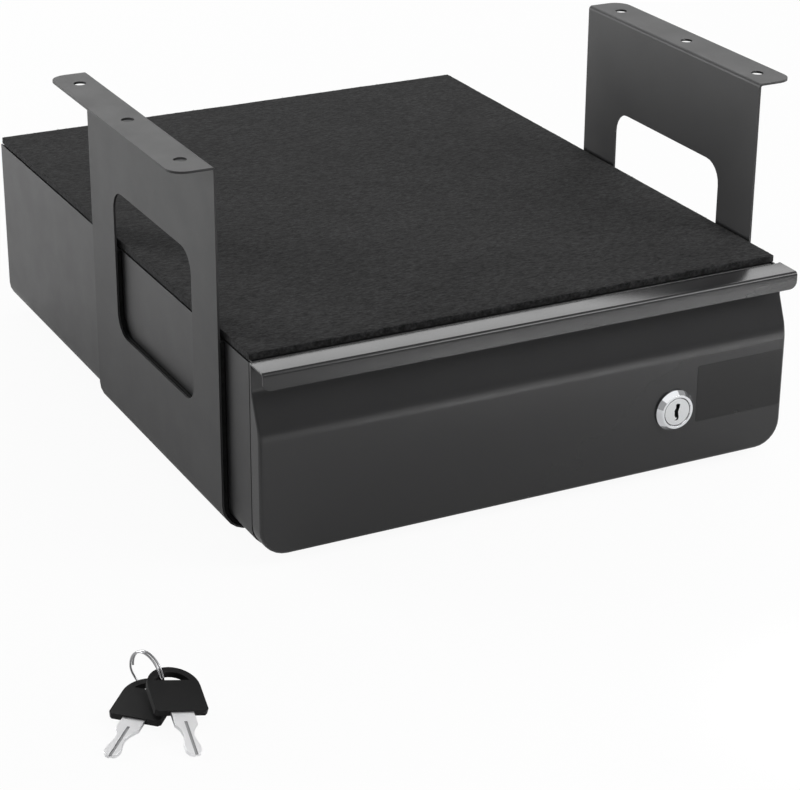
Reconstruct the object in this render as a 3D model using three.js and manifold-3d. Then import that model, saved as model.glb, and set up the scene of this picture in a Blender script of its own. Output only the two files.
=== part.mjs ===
// Drawer safe that hangs under a desk top: a bent sheet-steel housing with a felt-covered shelf,
// a sliding drawer with a cam lock, two hanging brackets, and two keys on a split ring.
// Millimetres, +X to the right, +Y to the back, +Z up.
// The origin is in the desk's underside, midway between the brackets and at their middle screw holes.
import * as THREE from 'three';
import { mergeVertices } from 'three/addons/utils/BufferGeometryUtils.js';
import Module from 'manifold-3d';

const wasm = await Module();
wasm.setup();

// Housing
const HOUSING_WIDTH = 300;
const HOUSING_DEPTH = 365;
const HOUSING_HEIGHT = 99;
const HOUSING_SHEET = 1;
const HOUSING_BEND = 11;
const SHELF_FLANGE = 12;
const SHELF_BEND = 2;
const SHELF_GROOVE = 0.2;
const BACK_FLANGE = 11;
const MAT_THICKNESS = 3.7;
const MAT_CORNER = 2;
const MAT_INSET = 0.6;
const SHELF_SPACE = 84.7;

// Brackets
const BRACKET_SHEET = 1.2;
const BRACKET_LENGTH = 171.5;
const BRACKET_SETBACK = 28;
const BRACKET_LEG = 48;
const BRACKET_LEG_CORNER = 6;
const FLANGE_WIDTH = 21.9;
const FLANGE_CORNER = 9;
const FLANGE_BEND = 2;
const DESK_HOLE_END = 17.75;
const DESK_HOLE_DIAMETER = 6.6;
const DESK_HOLE_EDGE = 11.3;
const WINDOW_FRONT = 32.2;
const WINDOW_LENGTH = 105.8;
const WINDOW_TOP = 53.3;
const WINDOW_HEIGHT = 81.5;
const WINDOW_CORNER = 12;
const LINER_THICKNESS = 2;

// Bracket bolts
const BOLT_DIAMETER = 5;
const BOLT_HEAD_DIAMETER = 10;
const BOLT_HEAD_HEIGHT = 2.2;
const BOLT_HEAD_FLAT = 6.2;
const BOLT_HEAD_SHOULDER = 8.8;
const BOLT_HEAD_EDGE = 0.3;
const BOLT_TIP_CHAMFER = 0.5;
const BOLT_END_INSET = 30;
const BOLT_INSET = 26;
const BOLT_NUT_WIDTH = 8;
const BOLT_NUT_HEIGHT = 4;
const BOLT_END = 1;
const BOLT_SOCKET_WIDTH = 3;
const BOLT_SOCKET_DEPTH = 1.3;

// Slides
const SLIDE_SPACE = 12.7;
const SLIDE_SHEET = 1.2;
const SLIDE_BEND = 0.9;
const SLIDE_HEIGHT = 35;
const SLIDE_LENGTH = 340;
const SLIDE_SETBACK = 4;
const CHANNEL_DEPTH = 9.3;
const CHANNEL_LIP = 4;
const RAIL_HEIGHT = 25;
const RAIL_DEPTH = 8.2;
const BALL_DIAMETER = 3.2;
const CAGE_SHEET = 0.6;
const CAGE_BEND = 0.8;
const CAGE_GAP = 1.1;
const BALL_SHIFT = 0.4;
const CAGE_LENGTH = 88;
const CAGE_START = 130;
const CAGE_DEPTH = 5;
const BALLS_IN_ROW = 4;
const RAIL_SCREW_DIAMETER = 4;
const RAIL_SCREW_HEAD = 7.4;
const RAIL_SCREW_HEAD_HEIGHT = 2.2;
const RAIL_SCREW_CROWN = 5.9;
const RAIL_SCREW_EDGE = 1.3;
const CROSS_SLOT_LENGTH = 4.2;
const CROSS_SLOT_WIDTH = 1;
const CROSS_SLOT_DEPTH = 1;
const RAIL_SCREW_LENGTH = 6;
const RAIL_SCREW_START = 45;
const RAIL_SCREW_PITCH = 250;

// Drawer
const TRAY_SHEET = 1;
const TRAY_HEIGHT = 72;
const TRAY_LENGTH = 330;
const TRAY_SETBACK = 13;
const TRAY_LIFT = 10;
const TRAY_BEND = 2;
const TAB_HEIGHT = 50;
const TAB_FOLD = 17;
const FRONT_SHEET = 1.2;
const FRONT_OVERHANG = 1;
const FRONT_RISE = 1.2;
const FRONT_DISH = 10.3;
const FRONT_GAP = 3;
const FRONT_CORNER = 14.5;
const NECK_DROP = 14.9;
const CREASE_DROP = 34.1;
const FACE_LEAN = 8.6;
const HANDLE_DEPTH = 14.2;
const HANDLE_LIP = 9.2;
const HANDLE_BEND = 2;
const HANDLE_CORNER = 4;
const STUD_DIAMETER = 4;
const STUD_LENGTH = 7;
const STUD_PITCH = 32;
const STUD_EDGE = 9.5;
const STUD_NUT_WIDTH = 7;
const STUD_NUT_HEIGHT = 3.2;
const LABEL_WIDTH = 52.5;
const LABEL_HEIGHT = 31.5;
const LABEL_THICKNESS = 0.3;
const LABEL_CORNER = 1;
const LABEL_GAP = 0.1;
const LABEL_EDGE = 1.8;
const LABEL_DROP = 45;

// Lock
const LOCK_INSET = 68.2;
const LOCK_DROP = 66.7;
const BEZEL_DIAMETER = 22.6;
const BEZEL_RIM = 18.4;
const BEZEL_HEIGHT = 3.5;
const BEZEL_EDGE = 0.9;
const BARREL_DIAMETER = 19;
const BARREL_LENGTH = 16.5;
const PLUG_DIAMETER = 14.8;
const PLUG_RECESS = 0.4;
const PLUG_CHAMFER = 0.4;
const PLUG_STANDOUT = 0.6;
const KEYWAY_HEIGHT = 8.6;
const KEYWAY_WIDTH = 1.7;
const KEYWAY_BOW = 1.1;
const KEYWAY_BOW_TOP = 1.9;
const KEYWAY_BOW_LOW = 1.5;
const KEYWAY_BEND = 1.2;
const KEYWAY_DEPTH = 15;
const TAIL_WIDTH = 6;
const TAIL_STANDOUT = 0.3;
const CAM_THICKNESS = 2;
const CAM_WIDTH = 13;
const CAM_HUB_DIAMETER = 16;
const CAM_CORNER = 3;
const CAM_REACH = 29;
const CAM_SCREW_DIAMETER = 4;
const CAM_SCREW_HEAD = 8;
const CAM_SCREW_HEAD_HEIGHT = 2.2;
const CAM_SCREW_CHAMFER = 0.9;
const CAM_SCREW_LENGTH = 4;
const THREAD_SPARE = 1;
const LOCK_NUT_WIDTH = 24;
const LOCK_NUT_HEIGHT = 4;
const LOCK_WASHER_DIAMETER = 25;
const LOCK_WASHER_THICKNESS = 0.8;
const CATCH_SHEET = 1.2;
const CATCH_BEND = 1;
const CATCH_GAP = 0.7;
const CATCH_WIDTH = 26;
const CATCH_FOOT = 16;
const CATCH_HEIGHT = 8.4;

// Keys
const BOW_WIDTH = 24;
const BOW_HEIGHT = 28.4;
const BOW_THICKNESS = 3;
const BOW_RIM = 3.4;
const BOW_HOLE_DROP = 8.6;
const BOW_CORNER = 1.2;
const BLADE_THICKNESS = 1.6;
const BLADE_WIDTH = 10.4;
const BLADE_LENGTH = 26.7;
const TANG_LENGTH = 9;
const BLADE_GROOVE = 1.3;
const BLADE_GROOVE_DEPTH = 0.4;
const BLADE_GROOVE_LENGTH = 20.8;
const BLADE_TIP_SHIFT = -0.4;
// Cuts in each edge of the blade: distance from the tip and depth
const LEFT_CUTS = [
  [18.7, 0], [17.9, 0.6], [16, 1.8], [12.5, 2.5], [9.6, 2], [6.9, 1.2], [2.7, 1.2], [0.8, 2.6],
];
const RIGHT_CUTS = [
  [19.2, 0], [18.4, 0.8], [15.2, 2.6], [12.3, 3.4], [9.1, 3], [6.1, 2.2], [3.7, 2], [1.1, 3],
];
const RING_DIAMETER = 21;
const RING_WIRE = 1;
const RING_PITCH = 1.45;
const RING_STEP = 0.9;
const RING_STEPS = 24;
const RING_X = -240;
const RING_Y = -219;
const RING_TURN = 108;
const RING_REACH = 9.4;
const KEY_1_TURN = -44;
const KEY_1_LEAN = 6.4;
const KEY_1_PIVOT = 3.6;
const KEY_2_TURN = -9;
const KEY_2_LEAN = 12.5;
const KEY_2_ROLL = 11;
const KEY_2_PIVOT = -4.2;
const KEY_PIVOT_RISE = 2.2;

// Gaps between pieces that touch, between pieces that run past each other, and round a bolt in its hole
const SEAT = 0.3;
const CLEAR = 0.3;
const HOLE_GAP = 0.4;

// Heights and places that follow from the sizes above
const MAT_TOP = -SHELF_SPACE;
const SHELF_TOP = MAT_TOP - MAT_THICKNESS - SEAT;
const FLOOR_UNDER = SHELF_TOP - HOUSING_HEIGHT;
const FLOOR_TOP = FLOOR_UNDER + HOUSING_SHEET;
const HALF_WIDTH = HOUSING_WIDTH / 2;
const WALL_IN = HALF_WIDTH - HOUSING_SHEET;
const FRONT_Y = -BRACKET_LENGTH / 2 - BRACKET_SETBACK;
const BACK_Y = FRONT_Y + HOUSING_DEPTH;
const BRACKET_IN = HALF_WIDTH + SEAT + LINER_THICKNESS + SEAT;
const BRACKET_OUT = BRACKET_IN + BRACKET_SHEET;
const LEG_UNDER = FLOOR_UNDER - (BRACKET_OUT - HALF_WIDTH);
const GROUND = LEG_UNDER - SEAT - BOLT_HEAD_HEIGHT;
const BRACKET_EDGE = BRACKET_OUT + FLANGE_WIDTH - BRACKET_SHEET;
const BOLT_X = HALF_WIDTH - BOLT_INSET;
const TRAY_HALF = WALL_IN - SLIDE_SPACE;
const TRAY_UNDER = FLOOR_TOP + TRAY_LIFT;
const TRAY_FRONT = FRONT_Y + TRAY_SETBACK;
const SLIDE_Z = TRAY_UNDER + TRAY_HEIGHT / 2;
const FRONT_HALF = HALF_WIDTH + FRONT_OVERHANG;
const LOCK_X = FRONT_HALF - LOCK_INSET;
const FACE_BACK = FRONT_Y - FRONT_GAP;
const FACE_Y = FACE_BACK - FRONT_DISH;
const FACE_INNER = FACE_Y + FRONT_SHEET;
const FRONT_TOP = SHELF_TOP + FRONT_RISE;
const NECK_Z = FRONT_TOP - NECK_DROP;
const CREASE_Z = FRONT_TOP - CREASE_DROP;
const LOCK_Z = FRONT_TOP - LOCK_DROP;

// Colours of the finishes
const finish = (color, roughness, metalness) => (
  new THREE.MeshStandardMaterial({ color, roughness, metalness })
);
const BLACK_STEEL = finish(0x3a3a3b, 0.42, 0.3);
const BLACK_FELT = finish(0x202021, 0.95, 0);
const LINER_FELT = finish(0x0c0c0c, 0.95, 0);
const ZINC = finish(0xb9bcc0, 0.35, 0.9);
const CHROME = finish(0xe2e4e6, 0.12, 1);
const KEY_STEEL = finish(0xc9ccd0, 0.25, 1);
const KEY_PLASTIC = finish(0x1b1b1c, 0.5, 0);
const LABEL_FILM = finish(0x18181a, 0.35, 0);

// Turns a closed geometry into a solid that can be joined and cut
function toSolid(geometry) {
  const bare = geometry.clone();
  bare.deleteAttribute('normal');
  bare.deleteAttribute('uv');
  const merged = mergeVertices(bare, 1e-4);
  const corners = merged.index.array;
  const faces = [];
  for (let i = 0; i < corners.length; i += 3) {
    const [a, b, c] = [corners[i], corners[i + 1], corners[i + 2]];
    if (a !== b && b !== c && c !== a) {
      faces.push(a, b, c);
    }
  }
  const mesh = new wasm.Mesh({
    numProp: 3,
    vertProperties: new Float32Array(merged.attributes.position.array),
    triVerts: new Uint32Array(faces),
  });
  return new wasm.Manifold(mesh);
}

function toGeometry(solid) {
  const mesh = solid.getMesh();
  const geometry = new THREE.BufferGeometry();
  geometry.setAttribute('position', new THREE.BufferAttribute(new Float32Array(mesh.vertProperties), 3));
  geometry.setIndex(new THREE.BufferAttribute(new Uint32Array(mesh.triVerts), 1));
  return geometry;
}

function cut(geometry, cutters) {
  const solid = cutters.reduce((left, cutter) => left.subtract(toSolid(cutter)), toSolid(geometry));
  return toGeometry(solid);
}

function join(pieces) {
  const solids = pieces.map(toSolid);
  return toGeometry(solids.reduce((all, piece) => all.add(piece)));
}

function overlap(first, second) {
  return toGeometry(toSolid(first).intersect(toSolid(second)));
}

// Extrudes an outline of [u, v] points along one axis, between two places on it
function extrude(points, from, to) {
  const shape = new THREE.Shape(points.map(([u, v]) => new THREE.Vector2(u, v)));
  return new THREE.ExtrudeGeometry(shape, { depth: to - from, bevelEnabled: false });
}

function alongX(points, from, to) {
  const turn = new THREE.Matrix4().makeBasis(
    new THREE.Vector3(0, 1, 0),
    new THREE.Vector3(0, 0, 1),
    new THREE.Vector3(1, 0, 0),
  );
  return extrude(points, from, to).applyMatrix4(turn).translate(from, 0, 0);
}

function alongY(points, from, to) {
  return extrude(points, from, to).rotateX(Math.PI / 2).translate(0, to, 0);
}

function alongZ(points, from, to) {
  return extrude(points, from, to).translate(0, 0, from);
}

function block(x0, x1, y0, y1, z0, z1) {
  const geometry = new THREE.BoxGeometry(Math.abs(x1 - x0), y1 - y0, z1 - z0);
  return geometry.translate((x0 + x1) / 2, (y0 + y1) / 2, (z0 + z1) / 2);
}

// Outline of a circle or a regular polygon; a width across flats gives a hexagon or a square
function circle(u, v, radius, sides = 24, turn = 0) {
  return Array.from({ length: sides }, (_, i) => {
    const angle = turn + (i / sides) * 2 * Math.PI;
    return [u + radius * Math.cos(angle), v + radius * Math.sin(angle)];
  });
}

function acrossFlats(u, v, width, sides) {
  return circle(u, v, width / 2 / Math.cos(Math.PI / sides), sides, Math.PI / sides);
}

// Rectangle outline with its own radius at each corner: low-low, high-low, high-high, low-high
function roundedBox(u0, u1, v0, v1, radii, steps = 6) {
  const corners = [[u0, v0, 1, 1], [u1, v0, -1, 1], [u1, v1, -1, -1], [u0, v1, 1, -1]];
  return corners.flatMap(([u, v, inU, inV], i) => {
    const radius = radii[i];
    if (radius === 0) {
      return [[u, v]];
    }
    const centre = [u + inU * radius, v + inV * radius];
    const start = Math.PI + (i * Math.PI) / 2;
    return Array.from({ length: steps + 1 }, (_, k) => {
      const angle = start + (k / steps) * (Math.PI / 2);
      return [centre[0] + radius * Math.cos(angle), centre[1] + radius * Math.sin(angle)];
    });
  });
}

// Outline of a bent strip of sheet: the middle line runs through the corners, each bend has its radius
function bentStrip(corners, radii, thickness, steps = 5) {
  const left = [];
  const right = [];
  const put = (point, direction) => {
    const normal = [-direction[1], direction[0]];
    left.push([point[0] + (normal[0] * thickness) / 2, point[1] + (normal[1] * thickness) / 2]);
    right.push([point[0] - (normal[0] * thickness) / 2, point[1] - (normal[1] * thickness) / 2]);
  };
  const towards = (from, to) => {
    const length = Math.hypot(to[0] - from[0], to[1] - from[1]);
    return [(to[0] - from[0]) / length, (to[1] - from[1]) / length];
  };
  const last = corners.length - 1;
  put(corners[0], towards(corners[0], corners[1]));
  for (let i = 1; i < last; i += 1) {
    const before = towards(corners[i - 1], corners[i]);
    const after = towards(corners[i], corners[i + 1]);
    const cross = before[0] * after[1] - before[1] * after[0];
    const turn = Math.atan2(cross, before[0] * after[0] + before[1] * after[1]);
    const side = Math.sign(turn);
    const radius = radii[i - 1];
    const reach = radius * Math.tan(Math.abs(turn) / 2);
    const start = [corners[i][0] - before[0] * reach, corners[i][1] - before[1] * reach];
    const centre = [start[0] - side * before[1] * radius, start[1] + side * before[0] * radius];
    for (let k = 0; k <= steps; k += 1) {
      const angle = (turn * k) / steps;
      const direction = [
        before[0] * Math.cos(angle) - before[1] * Math.sin(angle),
        before[0] * Math.sin(angle) + before[1] * Math.cos(angle),
      ];
      put([centre[0] + side * direction[1] * radius, centre[1] - side * direction[0] * radius], direction);
    }
  }
  put(corners[last], towards(corners[last - 1], corners[last]));
  return left.concat(right.reverse());
}

const mirrored = (points, side) => points.map(([u, v]) => [side * u, v]);

// A solid turned about a line along Y: the profile is [radius, y] points from the axis and back to it
function turned(profile, x, z, sides = 32) {
  const points = profile.map(([radius, y]) => new THREE.Vector2(radius, y));
  points.push(points[0].clone());
  return new THREE.LatheGeometry(points, sides).translate(x, 0, z);
}

// Places of the four bracket bolts, and of the desk holes of one bracket
const boltY = BRACKET_LENGTH / 2 - BOLT_END_INSET;
const boltPlaces = (side) => [-boltY, boltY].map((y) => [side * BOLT_X, y]);
const deskHoles = [-1, 0, 1].map((end) => end * (BRACKET_LENGTH / 2 - DESK_HOLE_END));

function boltHoles(side, from, to) {
  const radius = BOLT_DIAMETER / 2 + HOLE_GAP;
  return boltPlaces(side).map(([x, y]) => alongZ(circle(x, y, radius, 20), from, to));
}

// Housing

function lowerShell() {
  const middle = HALF_WIDTH - HOUSING_SHEET / 2;
  const low = FLOOR_UNDER + HOUSING_SHEET / 2;
  const top = SHELF_TOP - SHELF_GROOVE;
  const bend = HOUSING_BEND - HOUSING_SHEET / 2;
  const path = [[-middle, top], [-middle, low], [middle, low], [middle, top]];
  const outline = bentStrip(path, [bend, bend], HOUSING_SHEET);
  const holes = [-1, 1].flatMap((side) => boltHoles(side, FLOOR_UNDER - 1, FLOOR_TOP + 1));
  return cut(alongY(outline, FRONT_Y, BACK_Y), holes);
}

// Plate folded down at the front and both sides, inside the shell; open at the back for the back panel
function shelfPlate() {
  const half = WALL_IN - CLEAR;
  const low = SHELF_TOP - SHELF_FLANGE;
  const below = low - 1;
  const across = (inset, bottom) => {
    const bend = SHELF_BEND - inset;
    return roundedBox(-half + inset, half - inset, bottom, SHELF_TOP - inset, [0, 0, bend, bend], 3);
  };
  const deep = (inset, bottom, back) => {
    const bend = SHELF_BEND - inset;
    return roundedBox(FRONT_Y + inset, back, bottom, SHELF_TOP - inset, [0, 0, 0, bend], 3);
  };
  const outer = overlap(
    alongY(across(0, low), FRONT_Y, BACK_Y),
    alongX(deep(0, low, BACK_Y), -half, half),
  );
  const inner = overlap(
    alongY(across(HOUSING_SHEET, below), FRONT_Y, BACK_Y + 1),
    alongX(deep(HOUSING_SHEET, below, BACK_Y + 1), -half, half),
  );
  const notch = block(
    -HALF_WIDTH, HALF_WIDTH, BACK_Y - BACK_FLANGE - CLEAR, BACK_Y + 1, below, SHELF_TOP - HOUSING_SHEET,
  );
  return cut(outer, [inner, notch]);
}

// Dish whose flanges stand forward inside the shell
function backPanel() {
  const half = WALL_IN - CLEAR;
  const low = FLOOR_TOP + CLEAR;
  const top = SHELF_TOP - HOUSING_SHEET - CLEAR;
  const bend = HOUSING_BEND - HOUSING_SHEET - CLEAR;
  const outline = (inset, high) => roundedBox(
    -half + inset, half - inset, low + inset, high, [bend - inset, bend - inset, 0, 0], 5,
  );
  const outer = alongY(outline(0, top), BACK_Y - BACK_FLANGE, BACK_Y);
  const inner = alongY(outline(HOUSING_SHEET, top + 1), BACK_Y - BACK_FLANGE - 1, BACK_Y - HOUSING_SHEET);
  return cut(outer, [inner]);
}

function feltMat() {
  const corners = [MAT_CORNER, MAT_CORNER, MAT_CORNER, MAT_CORNER];
  const half = HALF_WIDTH - MAT_INSET;
  const outline = roundedBox(-half, half, FRONT_Y + MAT_INSET, BACK_Y - MAT_INSET, corners, 4);
  return alongZ(outline, MAT_TOP - MAT_THICKNESS, MAT_TOP);
}

// Brackets and their liners

function bracketWindow(side) {
  const front = -BRACKET_LENGTH / 2 + WINDOW_FRONT;
  const low = -WINDOW_TOP - WINDOW_HEIGHT;
  const corners = [WINDOW_CORNER, WINDOW_CORNER, WINDOW_CORNER, WINDOW_CORNER];
  const outline = roundedBox(front, front + WINDOW_LENGTH, low, -WINDOW_TOP, corners, 6);
  const near = HALF_WIDTH;
  const far = BRACKET_OUT + 1;
  return side > 0 ? alongX(outline, near, far) : alongX(outline, -far, -near);
}

function bracket(side) {
  const wall = BRACKET_OUT - BRACKET_SHEET / 2;
  const low = LEG_UNDER + BRACKET_SHEET / 2;
  const top = -BRACKET_SHEET / 2;
  const legEnd = HALF_WIDTH - BRACKET_LEG;
  const bends = [
    HOUSING_BEND + BRACKET_OUT - HALF_WIDTH - BRACKET_SHEET / 2,
    FLANGE_BEND - BRACKET_SHEET / 2,
  ];
  const path = [[legEnd, low], [wall, low], [wall, top], [BRACKET_EDGE, top]];
  const strip = mirrored(bentStrip(path, bends, BRACKET_SHEET, 6), side);
  const bent = alongY(strip, -BRACKET_LENGTH / 2, BRACKET_LENGTH / 2);
  const radii = [BRACKET_LEG_CORNER, FLANGE_CORNER, FLANGE_CORNER, BRACKET_LEG_CORNER];
  const plan = roundedBox(legEnd, BRACKET_EDGE, -BRACKET_LENGTH / 2, BRACKET_LENGTH / 2, radii, 6);
  const trimmed = overlap(bent, alongZ(mirrored(plan, side), LEG_UNDER - 1, 1));
  const screwX = side * (BRACKET_EDGE - DESK_HOLE_EDGE);
  const desk = deskHoles.map((y) => (
    alongZ(circle(screwX, y, DESK_HOLE_DIAMETER / 2, 24), -BRACKET_SHEET - 1, 1)
  ));
  const bolts = boltHoles(side, LEG_UNDER - 1, FLOOR_UNDER);
  return cut(trimmed, [bracketWindow(side), ...desk, ...bolts]);
}

function bracketLiner(side) {
  const wall = HALF_WIDTH + SEAT + LINER_THICKNESS / 2;
  const low = FLOOR_UNDER - SEAT - LINER_THICKNESS / 2;
  const bend = HOUSING_BEND + SEAT + LINER_THICKNESS / 2;
  const path = [[HALF_WIDTH - BRACKET_LEG, low], [wall, low], [wall, SHELF_TOP]];
  const outline = mirrored(bentStrip(path, [bend], LINER_THICKNESS, 6), side);
  const strip = alongY(outline, -BRACKET_LENGTH / 2, BRACKET_LENGTH / 2);
  return cut(strip, [bracketWindow(side), ...boltHoles(side, LEG_UNDER, FLOOR_UNDER)]);
}

// Truss-head bolt from below, with a hexagon socket
function bracketBolt(x, y) {
  const seat = LEG_UNDER - SEAT;
  const rim = BOLT_HEAD_DIAMETER / 2;
  const end = FLOOR_TOP + SEAT + BOLT_NUT_HEIGHT + BOLT_END;
  const shank = BOLT_DIAMETER / 2;
  const profile = [
    [0, GROUND], [BOLT_HEAD_FLAT / 2, GROUND], [BOLT_HEAD_SHOULDER / 2, GROUND + BOLT_HEAD_HEIGHT * 0.4],
    [rim, seat - BOLT_HEAD_EDGE], [rim, seat], [shank, seat],
    [shank, end - BOLT_TIP_CHAMFER], [shank - BOLT_TIP_CHAMFER, end], [0, end],
  ];
  const bolt = turned(profile, 0, 0, 20).rotateX(Math.PI / 2).translate(x, y, 0);
  const socket = alongZ(acrossFlats(x, y, BOLT_SOCKET_WIDTH, 6), GROUND - 1, GROUND + BOLT_SOCKET_DEPTH);
  return cut(bolt, [socket]);
}

function bracketNut(x, y) {
  const low = FLOOR_TOP + SEAT;
  const high = low + BOLT_NUT_HEIGHT;
  const body = alongZ(acrossFlats(x, y, BOLT_NUT_WIDTH, 6), low, high);
  return cut(body, [alongZ(circle(x, y, BOLT_DIAMETER / 2 + CLEAR, 20), low - 1, high + 1)]);
}

// Slides: outlines are drawn with u running from the housing wall towards the drawer

const slideX = (outline, side) => outline.map(([u, v]) => [side * (WALL_IN - u), SLIDE_Z + v]);
const slideFront = FRONT_Y + SLIDE_SETBACK;

function slideChannel(side) {
  const web = SEAT + SLIDE_SHEET / 2;
  const arm = SLIDE_HEIGHT / 2 - SLIDE_SHEET / 2;
  const lip = SEAT + CHANNEL_DEPTH - SLIDE_SHEET / 2;
  const end = SLIDE_HEIGHT / 2 - CHANNEL_LIP;
  const path = [[lip, end], [lip, arm], [web, arm], [web, -arm], [lip, -arm], [lip, -end]];
  const outline = bentStrip(path, Array(4).fill(SLIDE_BEND), SLIDE_SHEET, 3);
  return alongY(slideX(outline, side), slideFront, slideFront + SLIDE_LENGTH);
}

function railScrewPlaces() {
  return [0, 1].map((i) => FRONT_Y + RAIL_SCREW_START + i * RAIL_SCREW_PITCH);
}

// Holes for the rail screws through the rail and the tray's wall
function railScrewHoles(side) {
  const radius = RAIL_SCREW_DIAMETER / 2 + HOLE_GAP;
  const near = side * (TRAY_HALF - TRAY_SHEET - 1);
  const far = side * (TRAY_HALF + SLIDE_SHEET + 1);
  return railScrewPlaces().map((y) => (
    alongX(circle(y, SLIDE_Z, radius, 16), Math.min(near, far), Math.max(near, far))
  ));
}

function slideRail(side) {
  const web = SLIDE_SPACE - SEAT - SLIDE_SHEET / 2;
  const arm = RAIL_HEIGHT / 2 - SLIDE_SHEET / 2;
  const tip = SLIDE_SPACE - SEAT - RAIL_DEPTH;
  const path = [[tip, arm], [web, arm], [web, -arm], [tip, -arm]];
  const outline = bentStrip(path, [SLIDE_BEND, SLIDE_BEND], SLIDE_SHEET, 3);
  const rail = alongY(slideX(outline, side), slideFront, slideFront + SLIDE_LENGTH);
  return cut(rail, railScrewHoles(side));
}

// Thin bent strip between channel and rail, with a row of balls along each edge
function ballCage(side) {
  const row = (SLIDE_HEIGHT / 2 - SLIDE_SHEET + RAIL_HEIGHT / 2) / 2;
  const web = SEAT + SLIDE_SHEET + CAGE_GAP + CAGE_SHEET / 2;
  const edge = web + CAGE_DEPTH - CAGE_SHEET / 2;
  const path = [[edge, row], [web, row], [web, -row], [edge, -row]];
  const outline = bentStrip(path, [CAGE_BEND, CAGE_BEND], CAGE_SHEET, 3);
  const start = FRONT_Y + CAGE_START;
  const strip = alongY(slideX(outline, side), start, start + CAGE_LENGTH);
  const ballU = (web + edge) / 2 + BALL_SHIFT;
  const balls = [];
  for (let i = 0; i < BALLS_IN_ROW; i += 1) {
    const y = start + (CAGE_LENGTH * (i + 0.5)) / BALLS_IN_ROW;
    for (const level of [-row, row]) {
      const ball = new THREE.SphereGeometry(BALL_DIAMETER / 2, 8, 6);
      balls.push(ball.translate(side * (WALL_IN - ballU), y, SLIDE_Z + level));
    }
  }
  return join([strip, ...balls]);
}

// Two crossed slots for a screwdriver, in a plane across the Z axis, as cutters from one height up
function crossSlot(bottom) {
  const arm = CROSS_SLOT_LENGTH / 2;
  const half = CROSS_SLOT_WIDTH / 2;
  const top = bottom + 2 * CROSS_SLOT_DEPTH;
  return [block(-arm, arm, -half, half, bottom, top), block(-half, half, -arm, arm, bottom, top)];
}

// Pan-head screw from inside the rail, through the rail and the tray's wall; made along Z, then turned
function railScrew(side, y) {
  const head = TRAY_HALF + SEAT + SLIDE_SHEET + SEAT;
  const shank = alongZ(circle(0, 0, RAIL_SCREW_DIAMETER / 2, 16), -RAIL_SCREW_LENGTH, RAIL_SCREW_EDGE);
  const cap = alongZ(circle(0, 0, RAIL_SCREW_HEAD / 2, 20), 0, RAIL_SCREW_EDGE);
  const crown = alongZ(circle(0, 0, RAIL_SCREW_CROWN / 2, 20), 0, RAIL_SCREW_HEAD_HEIGHT);
  const screw = cut(join([shank, cap, crown]), crossSlot(RAIL_SCREW_HEAD_HEIGHT - CROSS_SLOT_DEPTH));
  return screw.rotateY((side * Math.PI) / 2).translate(side * head, y, SLIDE_Z);
}

// Drawer

const studPlaces = () => {
  const x = TRAY_HALF - STUD_EDGE;
  const middle = TRAY_UNDER + TAB_HEIGHT / 2;
  return [-1, 1].flatMap((side) => [-1, 1].map((up) => [side * x, middle + (up * STUD_PITCH) / 2]));
};

// Open-topped tray; its sides run on to the drawer front, where folded tabs sit on the studs
function drawerTray() {
  const top = TRAY_UNDER + TRAY_HEIGHT;
  const section = (inset, high) => {
    const bend = TRAY_BEND - inset;
    return roundedBox(-TRAY_HALF + inset, TRAY_HALF - inset, TRAY_UNDER + inset, high, [bend, bend, 0, 0], 3);
  };
  const outer = alongY(section(0, top), TRAY_FRONT, TRAY_FRONT + TRAY_LENGTH);
  const inner = alongY(
    section(TRAY_SHEET, top + 1), TRAY_FRONT + TRAY_SHEET, TRAY_FRONT + TRAY_LENGTH - TRAY_SHEET,
  );
  const tray = cut(outer, [inner]);
  const tabBack = FACE_INNER + SEAT;
  const low = TRAY_UNDER + TRAY_BEND;
  const high = TRAY_UNDER + TAB_HEIGHT;
  const tabs = [-1, 1].map((side) => {
    const path = [
      [TRAY_HALF - TAB_FOLD, tabBack + TRAY_SHEET / 2],
      [TRAY_HALF - TRAY_SHEET / 2, tabBack + TRAY_SHEET / 2],
      [TRAY_HALF - TRAY_SHEET / 2, TRAY_FRONT + TRAY_SHEET / 2],
    ];
    return alongZ(mirrored(bentStrip(path, [TRAY_BEND - TRAY_SHEET / 2], TRAY_SHEET, 4), side), low, high);
  });
  const studHoles = studPlaces().map(([x, z]) => (
    alongY(circle(x, z, STUD_DIAMETER / 2 + HOLE_GAP, 16), tabBack - 1, tabBack + TRAY_SHEET + 1)
  ));
  const holes = [-1, 1].flatMap(railScrewHoles);
  return cut(join([tray, ...tabs]), [...studHoles, ...holes]);
}

// Side view of the front's skin, upright under the handle and slanted down to the crease;
// the inset is the sheet's thickness for the inner face
function frontProfile(inset, back, low, high) {
  const slope = Math.atan2(FACE_LEAN, CREASE_DROP - NECK_DROP);
  const drop = inset * Math.tan(slope / 2);
  const faceY = FACE_Y + inset;
  const neckY = faceY + FACE_LEAN;
  return [
    [back, low], [faceY, low], [faceY, CREASE_Z - drop], [neckY, NECK_Z - drop], [neckY, high], [back, high],
  ];
}

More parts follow.
